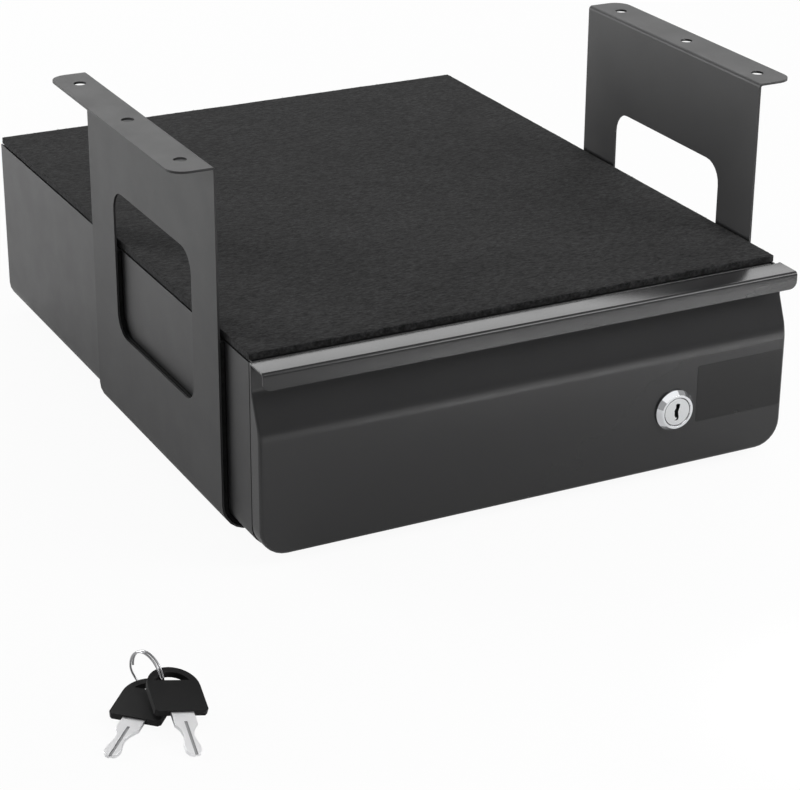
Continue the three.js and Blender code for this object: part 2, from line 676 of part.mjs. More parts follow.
function drawerFront() {
  const half = FRONT_HALF;
  const face = (inset, high) => {
    const corner = FRONT_CORNER - inset;
    return roundedBox(-half + inset, half - inset, FLOOR_UNDER + inset, high, [corner, corner, 0, 0], 7);
  };
  const low = FLOOR_UNDER - 1;
  const above = FRONT_TOP + 1;
  const outer = overlap(
    alongY(face(0, FRONT_TOP), FACE_Y, FACE_BACK),
    alongX(frontProfile(0, FACE_BACK, low, FRONT_TOP), -half, half),
  );
  const inner = overlap(
    alongY(face(FRONT_SHEET, above), FACE_Y, FACE_BACK + 1),
    alongX(frontProfile(FRONT_SHEET, FACE_BACK + 1, low, above), -half, half),
  );
  const skin = cut(outer, [inner]);
  const shelfY = FACE_Y + FACE_LEAN;
  const shelfZ = FRONT_TOP - FRONT_SHEET / 2;
  const lipY = shelfY - HANDLE_DEPTH + FRONT_SHEET / 2;
  const lipLow = FRONT_TOP - HANDLE_LIP;
  const path = [[shelfY + FRONT_SHEET / 2, shelfZ], [lipY, shelfZ], [lipY, lipLow]];
  const handle = overlap(
    alongX(bentStrip(path, [HANDLE_BEND - FRONT_SHEET / 2], FRONT_SHEET, 5), -half, half),
    alongY(
      roundedBox(-half, half, lipLow, FRONT_TOP + 1, [HANDLE_CORNER, HANDLE_CORNER, 0, 0], 5),
      lipY - FRONT_SHEET, shelfY + FRONT_SHEET,
    ),
  );
  const studs = studPlaces().map(([x, z]) => (
    alongY(circle(x, z, STUD_DIAMETER / 2, 16), FACE_INNER - FRONT_SHEET / 2, FACE_INNER + STUD_LENGTH)
  ));
  const lockCircle = circle(LOCK_X, LOCK_Z, BARREL_DIAMETER / 2 + CLEAR, 32);
  const lockHole = alongY(lockCircle, FACE_Y - 1, FACE_INNER + 1);
  return cut(join([skin, handle, ...studs]), [lockHole]);
}

function studNut(x, z) {
  const from = FACE_INNER + SEAT + TRAY_SHEET + SEAT;
  const to = from + STUD_NUT_HEIGHT;
  const body = alongY(acrossFlats(x, z, STUD_NUT_WIDTH, 6), from, to);
  return cut(body, [alongY(circle(x, z, STUD_DIAMETER / 2 + CLEAR, 20), from - 1, to + 1)]);
}

function blankLabel() {
  const right = FRONT_HALF - LABEL_EDGE;
  const top = FRONT_TOP - LABEL_DROP;
  const corners = Array(4).fill(LABEL_CORNER);
  const outline = roundedBox(right - LABEL_WIDTH, right, top - LABEL_HEIGHT, top, corners, 3);
  return alongY(outline, FACE_Y - LABEL_GAP - LABEL_THICKNESS, FACE_Y - LABEL_GAP);
}

// Lock: everything is turned about one line along Y

const bezelSeat = FACE_Y - SEAT;
const barrelEnd = bezelSeat + BARREL_LENGTH;
const plugEnd = barrelEnd + PLUG_STANDOUT;
const camFront = plugEnd + CLEAR;
const tailEnd = camFront + CAM_THICKNESS + TAIL_STANDOUT;

function lockBody() {
  const bore = PLUG_DIAMETER / 2 + CLEAR;
  const nose = bezelSeat - BEZEL_HEIGHT;
  const rim = BEZEL_DIAMETER / 2;
  const barrel = BARREL_DIAMETER / 2;
  const profile = [
    [bore, nose], [BEZEL_RIM / 2, nose], [rim, bezelSeat - BEZEL_EDGE], [rim, bezelSeat],
    [barrel, bezelSeat], [barrel, barrelEnd], [bore, barrelEnd],
  ];
  return turned(profile, LOCK_X, LOCK_Z, 32);
}

function lockPlug() {
  const nose = bezelSeat - BEZEL_HEIGHT + PLUG_RECESS;
  const radius = PLUG_DIAMETER / 2;
  const profile = [
    [0, nose], [radius - PLUG_CHAMFER, nose], [radius, nose + PLUG_CHAMFER], [radius, plugEnd], [0, plugEnd],
  ];
  const barrel = turned(profile, LOCK_X, LOCK_Z, 36);
  const tail = alongY(acrossFlats(LOCK_X, LOCK_Z, TAIL_WIDTH, 4), plugEnd - PLUG_STANDOUT, tailEnd);
  const half = KEYWAY_HEIGHT / 2;
  const path = [
    [LOCK_X, LOCK_Z + half], [LOCK_X + KEYWAY_BOW, LOCK_Z + KEYWAY_BOW_TOP],
    [LOCK_X - KEYWAY_BOW, LOCK_Z - KEYWAY_BOW_LOW], [LOCK_X, LOCK_Z - half],
  ];
  const slot = bentStrip(path, [KEYWAY_BEND, KEYWAY_BEND], KEYWAY_WIDTH, 4);
  const keyway = alongY(slot, nose - 1, nose + KEYWAY_DEPTH);
  const bore = circle(LOCK_X, LOCK_Z, CAM_SCREW_DIAMETER / 2 + CLEAR, 16);
  const thread = alongY(bore, tailEnd - CAM_SCREW_LENGTH - THREAD_SPARE, tailEnd + 1);
  return cut(join([barrel, tail]), [keyway, thread]);
}

function lockNut() {
  const bore = circle(LOCK_X, LOCK_Z, BARREL_DIAMETER / 2 + CLEAR, 32);
  const from = FACE_INNER + SEAT + LOCK_WASHER_THICKNESS + SEAT;
  const body = alongY(acrossFlats(LOCK_X, LOCK_Z, LOCK_NUT_WIDTH, 6), from, from + LOCK_NUT_HEIGHT);
  return cut(body, [alongY(bore, from - 1, from + LOCK_NUT_HEIGHT + 1)]);
}

function lockWasher() {
  const from = FACE_INNER + SEAT;
  const inside = BARREL_DIAMETER / 2 + CLEAR;
  const outside = LOCK_WASHER_DIAMETER / 2;
  const to = from + LOCK_WASHER_THICKNESS;
  return turned([[inside, from], [outside, from], [outside, to], [inside, to]], LOCK_X, LOCK_Z, 32);
}

// The cam points to the left when unlocked; turned down, its tip drops behind the catch
function lockCam() {
  const camBack = camFront + CAM_THICKNESS;
  const half = CAM_WIDTH / 2;
  const hub = alongY(circle(LOCK_X, LOCK_Z, CAM_HUB_DIAMETER / 2, 24), camFront, camBack);
  const plan = roundedBox(
    LOCK_X - CAM_REACH, LOCK_X, LOCK_Z - half, LOCK_Z + half, [CAM_CORNER, 0, 0, CAM_CORNER], 4,
  );
  const arm = alongY(plan, camFront, camBack);
  const hole = alongY(acrossFlats(LOCK_X, LOCK_Z, TAIL_WIDTH + 2 * CLEAR, 4), camFront - 1, camBack + 1);
  return cut(join([hub, arm]), [hole]);
}

function camScrew() {
  const seat = tailEnd + SEAT;
  const end = seat + CAM_SCREW_HEAD_HEIGHT;
  const tip = seat - CAM_SCREW_LENGTH;
  const shank = CAM_SCREW_DIAMETER / 2;
  const head = CAM_SCREW_HEAD / 2;
  const profile = [
    [0, tip], [shank, tip], [shank, seat], [head, seat],
    [head, end - CAM_SCREW_CHAMFER], [head - CAM_SCREW_CHAMFER, end], [0, end],
  ];
  const cross = crossSlot(-CROSS_SLOT_DEPTH).map((slot) => (
    slot.rotateX(-Math.PI / 2).translate(LOCK_X, end, LOCK_Z)
  ));
  return cut(turned(profile, LOCK_X, LOCK_Z, 20), cross);
}

// Angle on the housing floor, just inside its front edge
function lockCatch() {
  const low = FLOOR_TOP + SEAT;
  const back = camFront - CATCH_GAP;
  const path = [
    [back + CATCH_FOOT - CATCH_SHEET, low + CATCH_SHEET / 2],
    [back - CATCH_SHEET / 2, low + CATCH_SHEET / 2],
    [back - CATCH_SHEET / 2, low + CATCH_HEIGHT],
  ];
  const outline = bentStrip(path, [CATCH_BEND], CATCH_SHEET, 3);
  return alongX(outline, LOCK_X - CATCH_WIDTH / 2, LOCK_X + CATCH_WIDTH / 2);
}

// Keys: drawn flat, bow towards +Y, the bow's straight edge on the X axis, its underside at z = 0

// Arc of the bow's dome, or of its hole's arch, from one end to the other
function bowArc(inset, low, steps) {
  const radius = BOW_WIDTH / 2 - inset;
  const centre = BOW_HEIGHT - BOW_WIDTH / 2;
  const start = Math.asin((low - centre) / radius);
  return Array.from({ length: steps + 1 }, (_, i) => {
    const angle = start + (i / steps) * (Math.PI - 2 * start);
    return [radius * Math.cos(angle), centre + radius * Math.sin(angle)];
  });
}

function keyBow() {
  const dome = bowArc(0, BOW_HEIGHT - BOW_WIDTH / 2, 18);
  const half = BOW_WIDTH / 2;
  const foot = [[-half, BOW_CORNER], [-half + BOW_CORNER, 0], [half - BOW_CORNER, 0], [half, BOW_CORNER]];
  const arch = bowArc(BOW_RIM, BOW_HEIGHT - BOW_HOLE_DROP, 12);
  const slot = block(
    -BLADE_WIDTH / 2 - CLEAR, BLADE_WIDTH / 2 + CLEAR, -1, TANG_LENGTH + CLEAR,
    BOW_THICKNESS / 2 - BLADE_THICKNESS / 2 - CLEAR, BOW_THICKNESS / 2 + BLADE_THICKNESS / 2 + CLEAR,
  );
  return cut(alongZ([...dome, ...foot], 0, BOW_THICKNESS), [alongZ(arch, -1, BOW_THICKNESS + 1), slot]);
}

function keyBlade() {
  const half = BLADE_WIDTH / 2;
  const tip = -BLADE_LENGTH;
  const left = LEFT_CUTS.map(([distance, depth]) => [-half + depth, tip + distance]);
  const right = RIGHT_CUTS.map(([distance, depth]) => [half - depth, tip + distance]).reverse();
  const outline = [[-half, TANG_LENGTH], ...left, [BLADE_TIP_SHIFT, tip], ...right, [half, TANG_LENGTH]];
  const low = BOW_THICKNESS / 2 - BLADE_THICKNESS / 2;
  const high = low + BLADE_THICKNESS;
  const levels = [[low - 1, low + BLADE_GROOVE_DEPTH], [high - BLADE_GROOVE_DEPTH, high + 1]];
  const grooves = levels.map(([from, to]) => (
    block(-BLADE_GROOVE / 2, BLADE_GROOVE / 2, tip - 1, tip + BLADE_GROOVE_LENGTH, from, to)
  ));
  return cut(alongZ(outline, low, high), grooves);
}

// Split ring: one wire wound nearly twice round, drawn in the XZ plane about the origin
const FULL_TURN = 2 * Math.PI;
const ringAngle = 2 * FULL_TURN - RING_STEP;
const ringSteps = Math.round((ringAngle / FULL_TURN) * RING_STEPS);

function ringPoints() {
  return Array.from({ length: ringSteps + 1 }, (_, i) => {
    const angle = (ringAngle * i) / ringSteps;
    const along = THREE.MathUtils.smoothstep(angle, FULL_TURN - RING_STEP, FULL_TURN);
    const radius = RING_DIAMETER / 2;
    return new THREE.Vector3(radius * Math.cos(angle), (along - 0.5) * RING_PITCH, radius * Math.sin(angle));
  });
}

// Least distance between the turns, on points at least an eighth of a turn apart along the wire
function ringGap(points) {
  const skipped = Math.ceil((points.length * FULL_TURN) / ringAngle / 8);
  let least = Infinity;
  for (let i = 0; i < points.length; i += 1) {
    for (let k = i + skipped; k < points.length; k += 1) {
      least = Math.min(least, points[i].distanceTo(points[k]) - RING_WIRE);
    }
  }
  return least;
}

function keyRing() {
  const points = ringPoints();
  const path = new THREE.CatmullRomCurve3(points);
  const gap = ringGap(path.getSpacedPoints(180));
  console.log(`key ring: least gap between its turns ${gap.toFixed(2)} mm`);
  const section = new THREE.Shape(circle(0, 0, RING_WIRE / 2, 6).map(([u, v]) => new THREE.Vector2(u, v)));
  return new THREE.ExtrudeGeometry(section, { steps: ringSteps, extrudePath: path, bevelEnabled: false });
}

// The finished object

const object = new THREE.Group();

function add(name, geometry, material, parent = object) {
  const mesh = new THREE.Mesh(geometry, material);
  mesh.name = name;
  parent.add(mesh);
  return mesh;
}

add('lower_shell', lowerShell(), BLACK_STEEL);
add('shelf_plate', shelfPlate(), BLACK_STEEL);
add('back_panel', backPanel(), BLACK_STEEL);
add('felt_mat', feltMat(), BLACK_FELT);
add('lock_catch', lockCatch(), ZINC);

for (const [name, side] of [['left', -1], ['right', 1]]) {
  add(`${name}_bracket`, bracket(side), BLACK_STEEL);
  add(`${name}_bracket_liner`, bracketLiner(side), LINER_FELT);
  boltPlaces(side).forEach(([x, y], i) => {
    add(`${name}_bracket_bolt_${i + 1}`, bracketBolt(x, y), ZINC);
    add(`${name}_bracket_nut_${i + 1}`, bracketNut(x, y), ZINC);
  });
  add(`${name}_slide_channel`, slideChannel(side), ZINC);
  add(`${name}_ball_cage`, ballCage(side), ZINC);
  add(`${name}_slide_rail`, slideRail(side), ZINC);
  railScrewPlaces().forEach((y, i) => {
    add(`${name}_rail_screw_${i + 1}`, railScrew(side, y), ZINC);
  });
}

add('drawer_tray', drawerTray(), BLACK_STEEL);
add('drawer_front', drawerFront(), BLACK_STEEL);
studPlaces().forEach(([x, z], i) => {
  add(`front_nut_${i + 1}`, studNut(x, z), ZINC);
});
add('blank_label', blankLabel(), LABEL_FILM);

add('lock_body', lockBody(), CHROME);
add('lock_washer', lockWasher(), ZINC);
add('lock_nut', lockNut(), ZINC);
add('lock_plug', lockPlug(), KEY_STEEL);
add('lock_cam', lockCam(), ZINC);
add('cam_screw', camScrew(), ZINC);

// Moves a group down or up until its lowest point is on the ground
function settle(group) {
  group.updateMatrixWorld(true);
  const box = new THREE.Box3().setFromObject(group, true);
  group.position.z += GROUND - box.min.z;
}

// A key lies with its bow raised by the ring; the ring passes through the hole at the pivot
function addKey(name, turn, lean, roll, pivotX) {
  const place = new THREE.Group();
  place.position.set(RING_X, RING_Y, 0);
  place.rotation.z = THREE.MathUtils.degToRad(turn);
  const tilt = new THREE.Group();
  tilt.rotation.set(THREE.MathUtils.degToRad(lean), THREE.MathUtils.degToRad(roll), 0);
  place.add(tilt);
  object.add(place);
  const pivotY = BOW_HEIGHT - BOW_HOLE_DROP + KEY_PIVOT_RISE;
  add(`${name}_bow`, keyBow(), KEY_PLASTIC, tilt).position.set(-pivotX, -pivotY, 0);
  add(`${name}_blade`, keyBlade(), KEY_STEEL, tilt).position.set(-pivotX, -pivotY, 0);
  settle(place);
}

addKey('key_1', KEY_1_TURN, KEY_1_LEAN, 0, KEY_1_PIVOT);
addKey('key_2', KEY_2_TURN, KEY_2_LEAN, KEY_2_ROLL, KEY_2_PIVOT);

const ringPlace = new THREE.Group();
ringPlace.rotation.z = THREE.MathUtils.degToRad(RING_TURN);
ringPlace.position.set(
  RING_X + RING_REACH * Math.cos(ringPlace.rotation.z),
  RING_Y + RING_REACH * Math.sin(ringPlace.rotation.z),
  0,
);
object.add(ringPlace);
add('key_ring', keyRing(), KEY_STEEL, ringPlace);
settle(ringPlace);

export default object;
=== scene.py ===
"""Drawer safe that hangs under a desk top, with a felt-covered shelf, a sliding drawer and two keys.

Metres, +X to the right, +Y to the back, +Z up, with the origin in the desk's underside.
"""

import math

import bmesh
import bpy
from mathutils import Matrix, Vector, noise
from mathutils.geometry import tessellate_polygon


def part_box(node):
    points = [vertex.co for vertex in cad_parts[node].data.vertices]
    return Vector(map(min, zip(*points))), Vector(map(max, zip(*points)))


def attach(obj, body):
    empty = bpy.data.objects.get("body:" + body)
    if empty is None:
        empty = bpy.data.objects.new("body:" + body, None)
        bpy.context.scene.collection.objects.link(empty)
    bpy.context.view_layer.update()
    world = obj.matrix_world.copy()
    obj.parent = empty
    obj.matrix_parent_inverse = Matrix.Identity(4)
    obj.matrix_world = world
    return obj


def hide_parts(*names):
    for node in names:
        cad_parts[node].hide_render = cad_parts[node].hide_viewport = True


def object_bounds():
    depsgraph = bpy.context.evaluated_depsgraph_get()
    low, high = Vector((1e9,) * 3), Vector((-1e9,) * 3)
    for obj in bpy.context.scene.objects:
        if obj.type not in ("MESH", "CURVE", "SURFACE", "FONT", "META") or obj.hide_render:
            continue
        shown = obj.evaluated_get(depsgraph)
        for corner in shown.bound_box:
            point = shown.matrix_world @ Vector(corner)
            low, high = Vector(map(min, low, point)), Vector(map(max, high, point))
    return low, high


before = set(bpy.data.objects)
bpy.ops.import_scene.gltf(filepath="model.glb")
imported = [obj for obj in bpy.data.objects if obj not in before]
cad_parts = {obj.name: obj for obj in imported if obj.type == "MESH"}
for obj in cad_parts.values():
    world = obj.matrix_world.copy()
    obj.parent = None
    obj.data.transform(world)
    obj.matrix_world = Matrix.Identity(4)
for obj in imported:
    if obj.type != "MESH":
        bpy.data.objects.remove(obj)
CAD_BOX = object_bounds()

# Camera
# A long lens a good metre away, up on the part's front left, looking down over the drawer front.
# Its place and angles make the part's edges lie where the photograph has them.
CAMERA_PLACE = (-0.56969, -1.09293, 0.36950)
CAMERA_AZIMUTH = math.radians(-27.054)
CAMERA_DOWN = math.radians(24.059)
CAMERA_ROLL = math.radians(0.390)
LENS = 110.35
SENSOR = 36

camera_data = bpy.data.cameras.new("camera")
camera_data.lens = LENS
camera_data.sensor_width = SENSOR
camera_data.sensor_fit = "HORIZONTAL"
camera = bpy.data.objects.new("camera", camera_data)
bpy.context.scene.collection.objects.link(camera)
looking = Matrix.Rotation(CAMERA_AZIMUTH, 4, "Z") @ Matrix.Rotation(math.pi / 2 - CAMERA_DOWN, 4, "X")
camera.matrix_world = Matrix.Translation(CAMERA_PLACE) @ looking @ Matrix.Rotation(CAMERA_ROLL, 4, "Z")
bpy.context.scene.camera = camera

# Floor and light
# A pale floor under the bolt heads and the keys; the camera sees it and the world as white but for a shadow.
# A softbox behind mirrors in the handle's top; others stand back left, in front and above, and a narrow spot
# lays a pool on the floor for lip and crease to mirror. A lamp is (place, point faced, size, power, roll).
FLOOR_REACH = 6
FLOOR_GAP = 0.0001
FLOOR_COLOR = (0.86, 0.86, 0.86, 1)
WHITE = (1, 1, 1, 1)
WORLD_FILL = 0.3
FLOOR_CAMERA_WHITE = 0.94
FLOOR_GLOSS_WHITE = 0.075
WORLD_CAMERA_WHITE = 1
WORLD_GLOSS_WHITE = 0.08
BACK_LAMP = ((0.70, 1.35, 0.87), (0, 0, -0.10), (2.0, 0.75), 11, -6)
LEFT_LAMP = ((-1.3, 1.3, 0.30), (0, 0, -0.10), (1.0, 0.8), 20.5, 0)
FRONT_LAMP = ((0.75, -0.64, 0.36), (0.75, -0.64, -1), (1.1, 0.4), 7.5, 0)
TOP_LAMP = ((0.05, -0.70, 0.95), (0.05, -0.10, -0.10), (2.0, 0.8), 3.6, 0)
POOL_LAMP = ((0.24, -0.345, 0.25), (0.24, -0.345, -1), (0.46, 0.05), 0.28, 4)
POOL_SPREAD = math.radians(20)


def link_piece(name, mesh):
    piece = bpy.data.objects.new(name, mesh)
    bpy.context.scene.collection.objects.link(piece)
    return piece


def feed(tree, node, inputs):
    """Gives each of these inputs of a node its value, or links it to another node's output."""
    for label, value in inputs.items():
        if isinstance(value, bpy.types.NodeSocket):
            tree.links.new(value, node.inputs[label])
        else:
            node.inputs[label].default_value = value


def add_node(tree, kind, inputs=None, **settings):
    """Adds a node to a tree, makes its settings and then feeds its inputs."""
    node = tree.nodes.new(kind)
    for label, value in settings.items():
        setattr(node, label, value)
    feed(tree, node, inputs or {})
    return node


def computed(tree, operation, first, second):
    """The output of a Math node on two numbers or outputs."""
    return add_node(tree, "ShaderNodeMath", {0: first, 1: second}, operation=operation).outputs[0]


def show_background(tree, own, white_kind, output_kind, camera_share, gloss_share):
    """Lets the camera see white, and lets gloss and glass see some white over what the light makes."""
    path = add_node(tree, "ShaderNodeLightPath").outputs
    seen = computed(tree, "MULTIPLY", path["Is Camera Ray"], camera_share)
    mirrored = computed(tree, "MAXIMUM", path["Is Glossy Ray"], path["Is Transmission Ray"])
    strength = computed(tree, "MULTIPLY", mirrored, gloss_share)
    white = add_node(tree, white_kind, {"Color": WHITE, "Strength": 1})
    extra = add_node(tree, white_kind, {"Color": WHITE, "Strength": strength})
    mixed = add_node(tree, "ShaderNodeMixShader", {"Fac": seen, 1: own.outputs[0], 2: white.outputs[0]})
    total = add_node(tree, "ShaderNodeAddShader", {0: mixed.outputs[0], 1: extra.outputs[0]})
    add_node(tree, output_kind, {"Surface": total.outputs[0]})


floor_material = bpy.data.materials.new("pale_floor")
floor_material.use_nodes = True
floor_tree = floor_material.node_tree
floor_tree.nodes.clear()
matt = add_node(floor_tree, "ShaderNodeBsdfDiffuse", {"Color": FLOOR_COLOR})
show_background(
    floor_tree, matt, "ShaderNodeEmission", "ShaderNodeOutputMaterial",
    FLOOR_CAMERA_WHITE, FLOOR_GLOSS_WHITE,
)

floor_z = CAD_BOX[0][2] - FLOOR_GAP
floor_mesh = bpy.data.meshes.new("floor")
floor_corners = ((-1, -1), (1, -1), (1, 1), (-1, 1))
floor_mesh.from_pydata(
    [(x * FLOOR_REACH, y * FLOOR_REACH, floor_z) for x, y in floor_corners], [], [(0, 1, 2, 3)],
)
floor_mesh.materials.append(floor_material)
floor = link_piece("floor", floor_mesh)

world = bpy.data.worlds.new("studio")
world.use_nodes = True
bpy.context.scene.world = world
world_tree = world.node_tree
world_tree.nodes.clear()
fill = add_node(world_tree, "ShaderNodeBackground", {"Color": WHITE, "Strength": WORLD_FILL})
show_background(
    world_tree, fill, "ShaderNodeBackground", "ShaderNodeOutputWorld", WORLD_CAMERA_WHITE, WORLD_GLOSS_WHITE,
)


def broad_lamp(name, place, aim, size, power, roll):
    """A soft rectangular lamp that faces a point, rolled by some degrees; the camera doesn't see it."""
    data = bpy.data.lights.new(name, "AREA")
    data.shape = "RECTANGLE"
    data.size, data.size_y = size
    data.energy = power
    lamp = bpy.data.objects.new(name, data)
    bpy.context.scene.collection.objects.link(lamp)
    facing = (Vector(aim) - Vector(place)).to_track_quat("-Z", "Y").to_matrix().to_4x4()
    lamp.matrix_world = Matrix.Translation(place) @ facing @ Matrix.Rotation(math.radians(roll), 4, "Z")
    lamp.visible_camera = False
    return lamp


broad_lamp("back_lamp", *BACK_LAMP)
broad_lamp("left_lamp", *LEFT_LAMP)
broad_lamp("front_lamp", *FRONT_LAMP)
broad_lamp("top_lamp", *TOP_LAMP)
pool = broad_lamp("pool_lamp", *POOL_LAMP)
pool.visible_glossy = False
pool.data.spread = POOL_SPREAD
bpy.context.scene.view_settings.view_transform = "Standard"

# Housing
# A shell bent from one sheet, a shelf plate folded down inside it and a dished back panel, all spot-welded.
# Every black sheet piece has the same satin powder coat, with a faint orange peel and specks of dust.
MM = 0.001
COAT_COLOR = (0.016, 0.016, 0.0167, 1)
HOUSING_ROUGHNESS = 0.4
RELIEF_DEPTH = 0.02 * MM
CLOUD_SCALE = 14.0
GLOSS_SCALE = 40.0
SPECK_SCALE = 1700.0
NOISE_MIDDLE = (0.3, 0.7)
SPECK_RIM = (0.70, 0.76)
DUST_COLOR = (0.2, 0.2, 0.2, 1)
MERGE_REACH = 0.001 * MM
FLAT_ANGLE = math.radians(0.4)
SMOOTH_ANGLE = math.radians(33)
SHEET_EDGE = 0.22 * MM
SHELF_BEND = 0.7 * MM
SHELF_CORNER = 0.1 * MM


def shader_group(name, inputs, outputs):
    """An empty shader node group; inputs are (name, socket type, value) and outputs (name, socket type)."""
    group = bpy.data.node_groups.new(name, "ShaderNodeTree")
    for label, kind, value in inputs:
        socket = group.interface.new_socket(label, in_out="INPUT", socket_type=kind)
        socket.default_value = value
    for label, kind in outputs:
        group.interface.new_socket(label, in_out="OUTPUT", socket_type=kind)
    return group, group.nodes.new("NodeGroupInput").outputs, group.nodes.new("NodeGroupOutput")


def noise_at(tree, vector, scale, detail=3, roughness=0.55):
    """A noise texture on a vector, at a scale that may be a number or an output."""
    inputs = {"Vector": vector, "Scale": scale, "Detail": detail, "Roughness": roughness}
    return add_node(tree, "ShaderNodeTexNoise", inputs).outputs["Fac"]


def ranged(tree, value, low, high, out_low, out_high):
    """A value's range from low to high, brought to another range; each end is a number or an output."""
    inputs = {"Value": value, "From Min": low, "From Max": high, "To Min": out_low, "To Max": out_high}
    return add_node(tree, "ShaderNodeMapRange", inputs).outputs["Result"]


def mixed_color(tree, factor, first, second, **settings):
    """Two colours mixed by a factor, or as the settings say."""
    inputs = {"Factor": factor, "A": first, "B": second}
    return add_node(tree, "ShaderNodeMix", inputs, data_type="RGBA", **settings).outputs["Result"]


def surface_group():
    """Uneven tone, uneven gloss and a fine relief for painted, plated and moulded surfaces."""
    group, given, out = shader_group(
        "fine_surface",
        [
            ("Color", "NodeSocketColor", (0.5, 0.5, 0.5, 1)),
            ("Roughness", "NodeSocketFloat", 0.4),
            ("Tone Spread", "NodeSocketFloat", 0.1),
            ("Gloss Spread", "NodeSocketFloat", 0.05),
            ("Grain Scale", "NodeSocketFloat", 900.0),
            ("Speck Amount", "NodeSocketFloat", 0.2),
        ],
        [("Color", "NodeSocketColor"), ("Roughness", "NodeSocketFloat"), ("Relief", "NodeSocketFloat")],
    )
    where = add_node(group, "ShaderNodeTexCoord").outputs["Object"]
    cloud = noise_at(group, where, CLOUD_SCALE, detail=4)
    darker = computed(group, "SUBTRACT", 1, given["Tone Spread"])
    lighter = computed(group, "ADD", 1, given["Tone Spread"])
    tone = ranged(group, cloud, *NOISE_MIDDLE, darker, lighter)
    toned = mixed_color(group, 1, given["Color"], tone, blend_type="MULTIPLY")
    dust = noise_at(group, where, SPECK_SCALE, detail=1)
    specks = ranged(group, dust, *SPECK_RIM, 0, given["Speck Amount"])
    smoother = computed(group, "SUBTRACT", given["Roughness"], given["Gloss Spread"])
    duller = computed(group, "ADD", given["Roughness"], given["Gloss Spread"])
    feed(group, out, {
        "Color": mixed_color(group, specks, toned, DUST_COLOR),
        "Roughness": ranged(group, noise_at(group, where, GLOSS_SCALE), *NOISE_MIDDLE, smoother, duller),
        "Relief": noise_at(group, where, given["Grain Scale"], detail=2),
    })
    return group


FINE_SURFACE = surface_group()


def finish(name, color, roughness, metallic=0.0, ior=1.5, relief=0.12, **spread):
    """A material whose tone, gloss and relief come from the fine surface group."""
    material = bpy.data.materials.new(name)
    material.use_nodes = True
    tree = material.node_tree
    inputs = {label.replace("_", " ").title(): value for label, value in spread.items()}
    inputs.update({"Color": color, "Roughness": roughness})
    surface = add_node(tree, "ShaderNodeGroup", inputs, node_tree=FINE_SURFACE).outputs
    inputs = {"Strength": relief, "Distance": RELIEF_DEPTH, "Height": surface["Relief"]}
    bump = add_node(tree, "ShaderNodeBump", inputs)
    feed(tree, tree.nodes["Principled BSDF"], {
        "Base Color": surface["Color"], "Roughness": surface["Roughness"], "Metallic": metallic, "IOR": ior,
        "Normal": bump.outputs["Normal"],
    })
    return material


def to_piece(name, shape):
    """Makes a piece from a bmesh and frees the bmesh."""
    mesh = bpy.data.meshes.new(name)
    shape.to_mesh(mesh)
    shape.free()
    return link_piece(name, mesh)


def merged_copy(name, node):
    """A new piece with a node's shape: its loose triangles are joined and its flat faces made whole."""
    shape = bmesh.new()
    shape.from_mesh(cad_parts[node].data)
    bmesh.ops.remove_doubles(shape, verts=shape.verts, dist=MERGE_REACH)
    bmesh.ops.dissolve_limit(shape, angle_limit=FLAT_ANGLE, verts=shape.verts, edges=shape.edges)
    piece = to_piece(name, shape)
    attributes = piece.data.attributes
    for left_over in ("custom_normal", "UVMap", "Color"):
        if left_over in attributes:
            attributes.remove(attributes[left_over])
    piece.data.materials.clear()
    return piece


def smooth(piece, angle=SMOOTH_ANGLE):
    piece.data.shade_smooth()
    piece.data.set_sharp_from_angle(angle=angle)


def round_edges(piece, width, segments=2, by_weight=False, angle=SMOOTH_ANGLE):
    """Rounds a piece's edges and leaves its flat faces flat; rounding by weight may overlap."""
    bevel = piece.modifiers.new("rounded_edges", "BEVEL")
    bevel.width = width
    bevel.segments = segments
    bevel.limit_method = "WEIGHT" if by_weight else "ANGLE"
    bevel.angle_limit = angle
    bevel.harden_normals = True
    bevel.use_clamp_overlap = not by_weight
    smooth(piece)


def place(piece, material, body, slot, *stands_for):
    """Gives a finished piece its material and its body, and hides the nodes that it stands for; its slot is
    not used.
    """
    piece.data.materials.clear()
    piece.data.materials.append(material)
    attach(piece, body)
    if stands_for:
        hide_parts(*stands_for)


def weigh_edges(piece, share):
    """Gives each edge that folds sharply its share of the widest rounding; the rest stay as they are."""
    shape = bmesh.new()
    shape.from_mesh(piece.data)
    weight = shape.edges.layers.float.new("bevel_weight_edge")
    for edge in shape.edges:
        if len(edge.link_faces) == 2:
            middle = (edge.verts[0].co + edge.verts[1].co) / 2
            edge[weight] = 0 if edge.calc_face_angle(0) < SMOOTH_ANGLE else share(edge, middle)
    shape.to_mesh(piece.data)
    shape.free()


def shelf_share(edge, middle):
    """The fold along the shelf plate's front is wide; every other sharp edge is a cut one."""
    front = middle.y - shelf_low.y < SHELF_CORNER and shelf_high.z - middle.z < SHELF_CORNER
    return 1 if front else SHEET_EDGE / SHELF_BEND


coated = finish(
    "housing_coat", COAT_COLOR, HOUSING_ROUGHNESS, tone_spread=0.02, gloss_spread=0.03, speck_amount=0.03,
)
for node in ("lower_shell", "back_panel"):
    piece = merged_copy(f"{node}_coated", node)
    round_edges(piece, SHEET_EDGE)
    place(piece, coated, "housing", "black_steel", node)
shelf = merged_copy("shelf_plate_coated", "shelf_plate")
shelf_low, shelf_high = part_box("shelf_plate")
weigh_edges(shelf, shelf_share)
round_edges(shelf, SHELF_BEND, segments=4, by_weight=True)
place(shelf, coated, "housing", "black_steel", "shelf_plate")

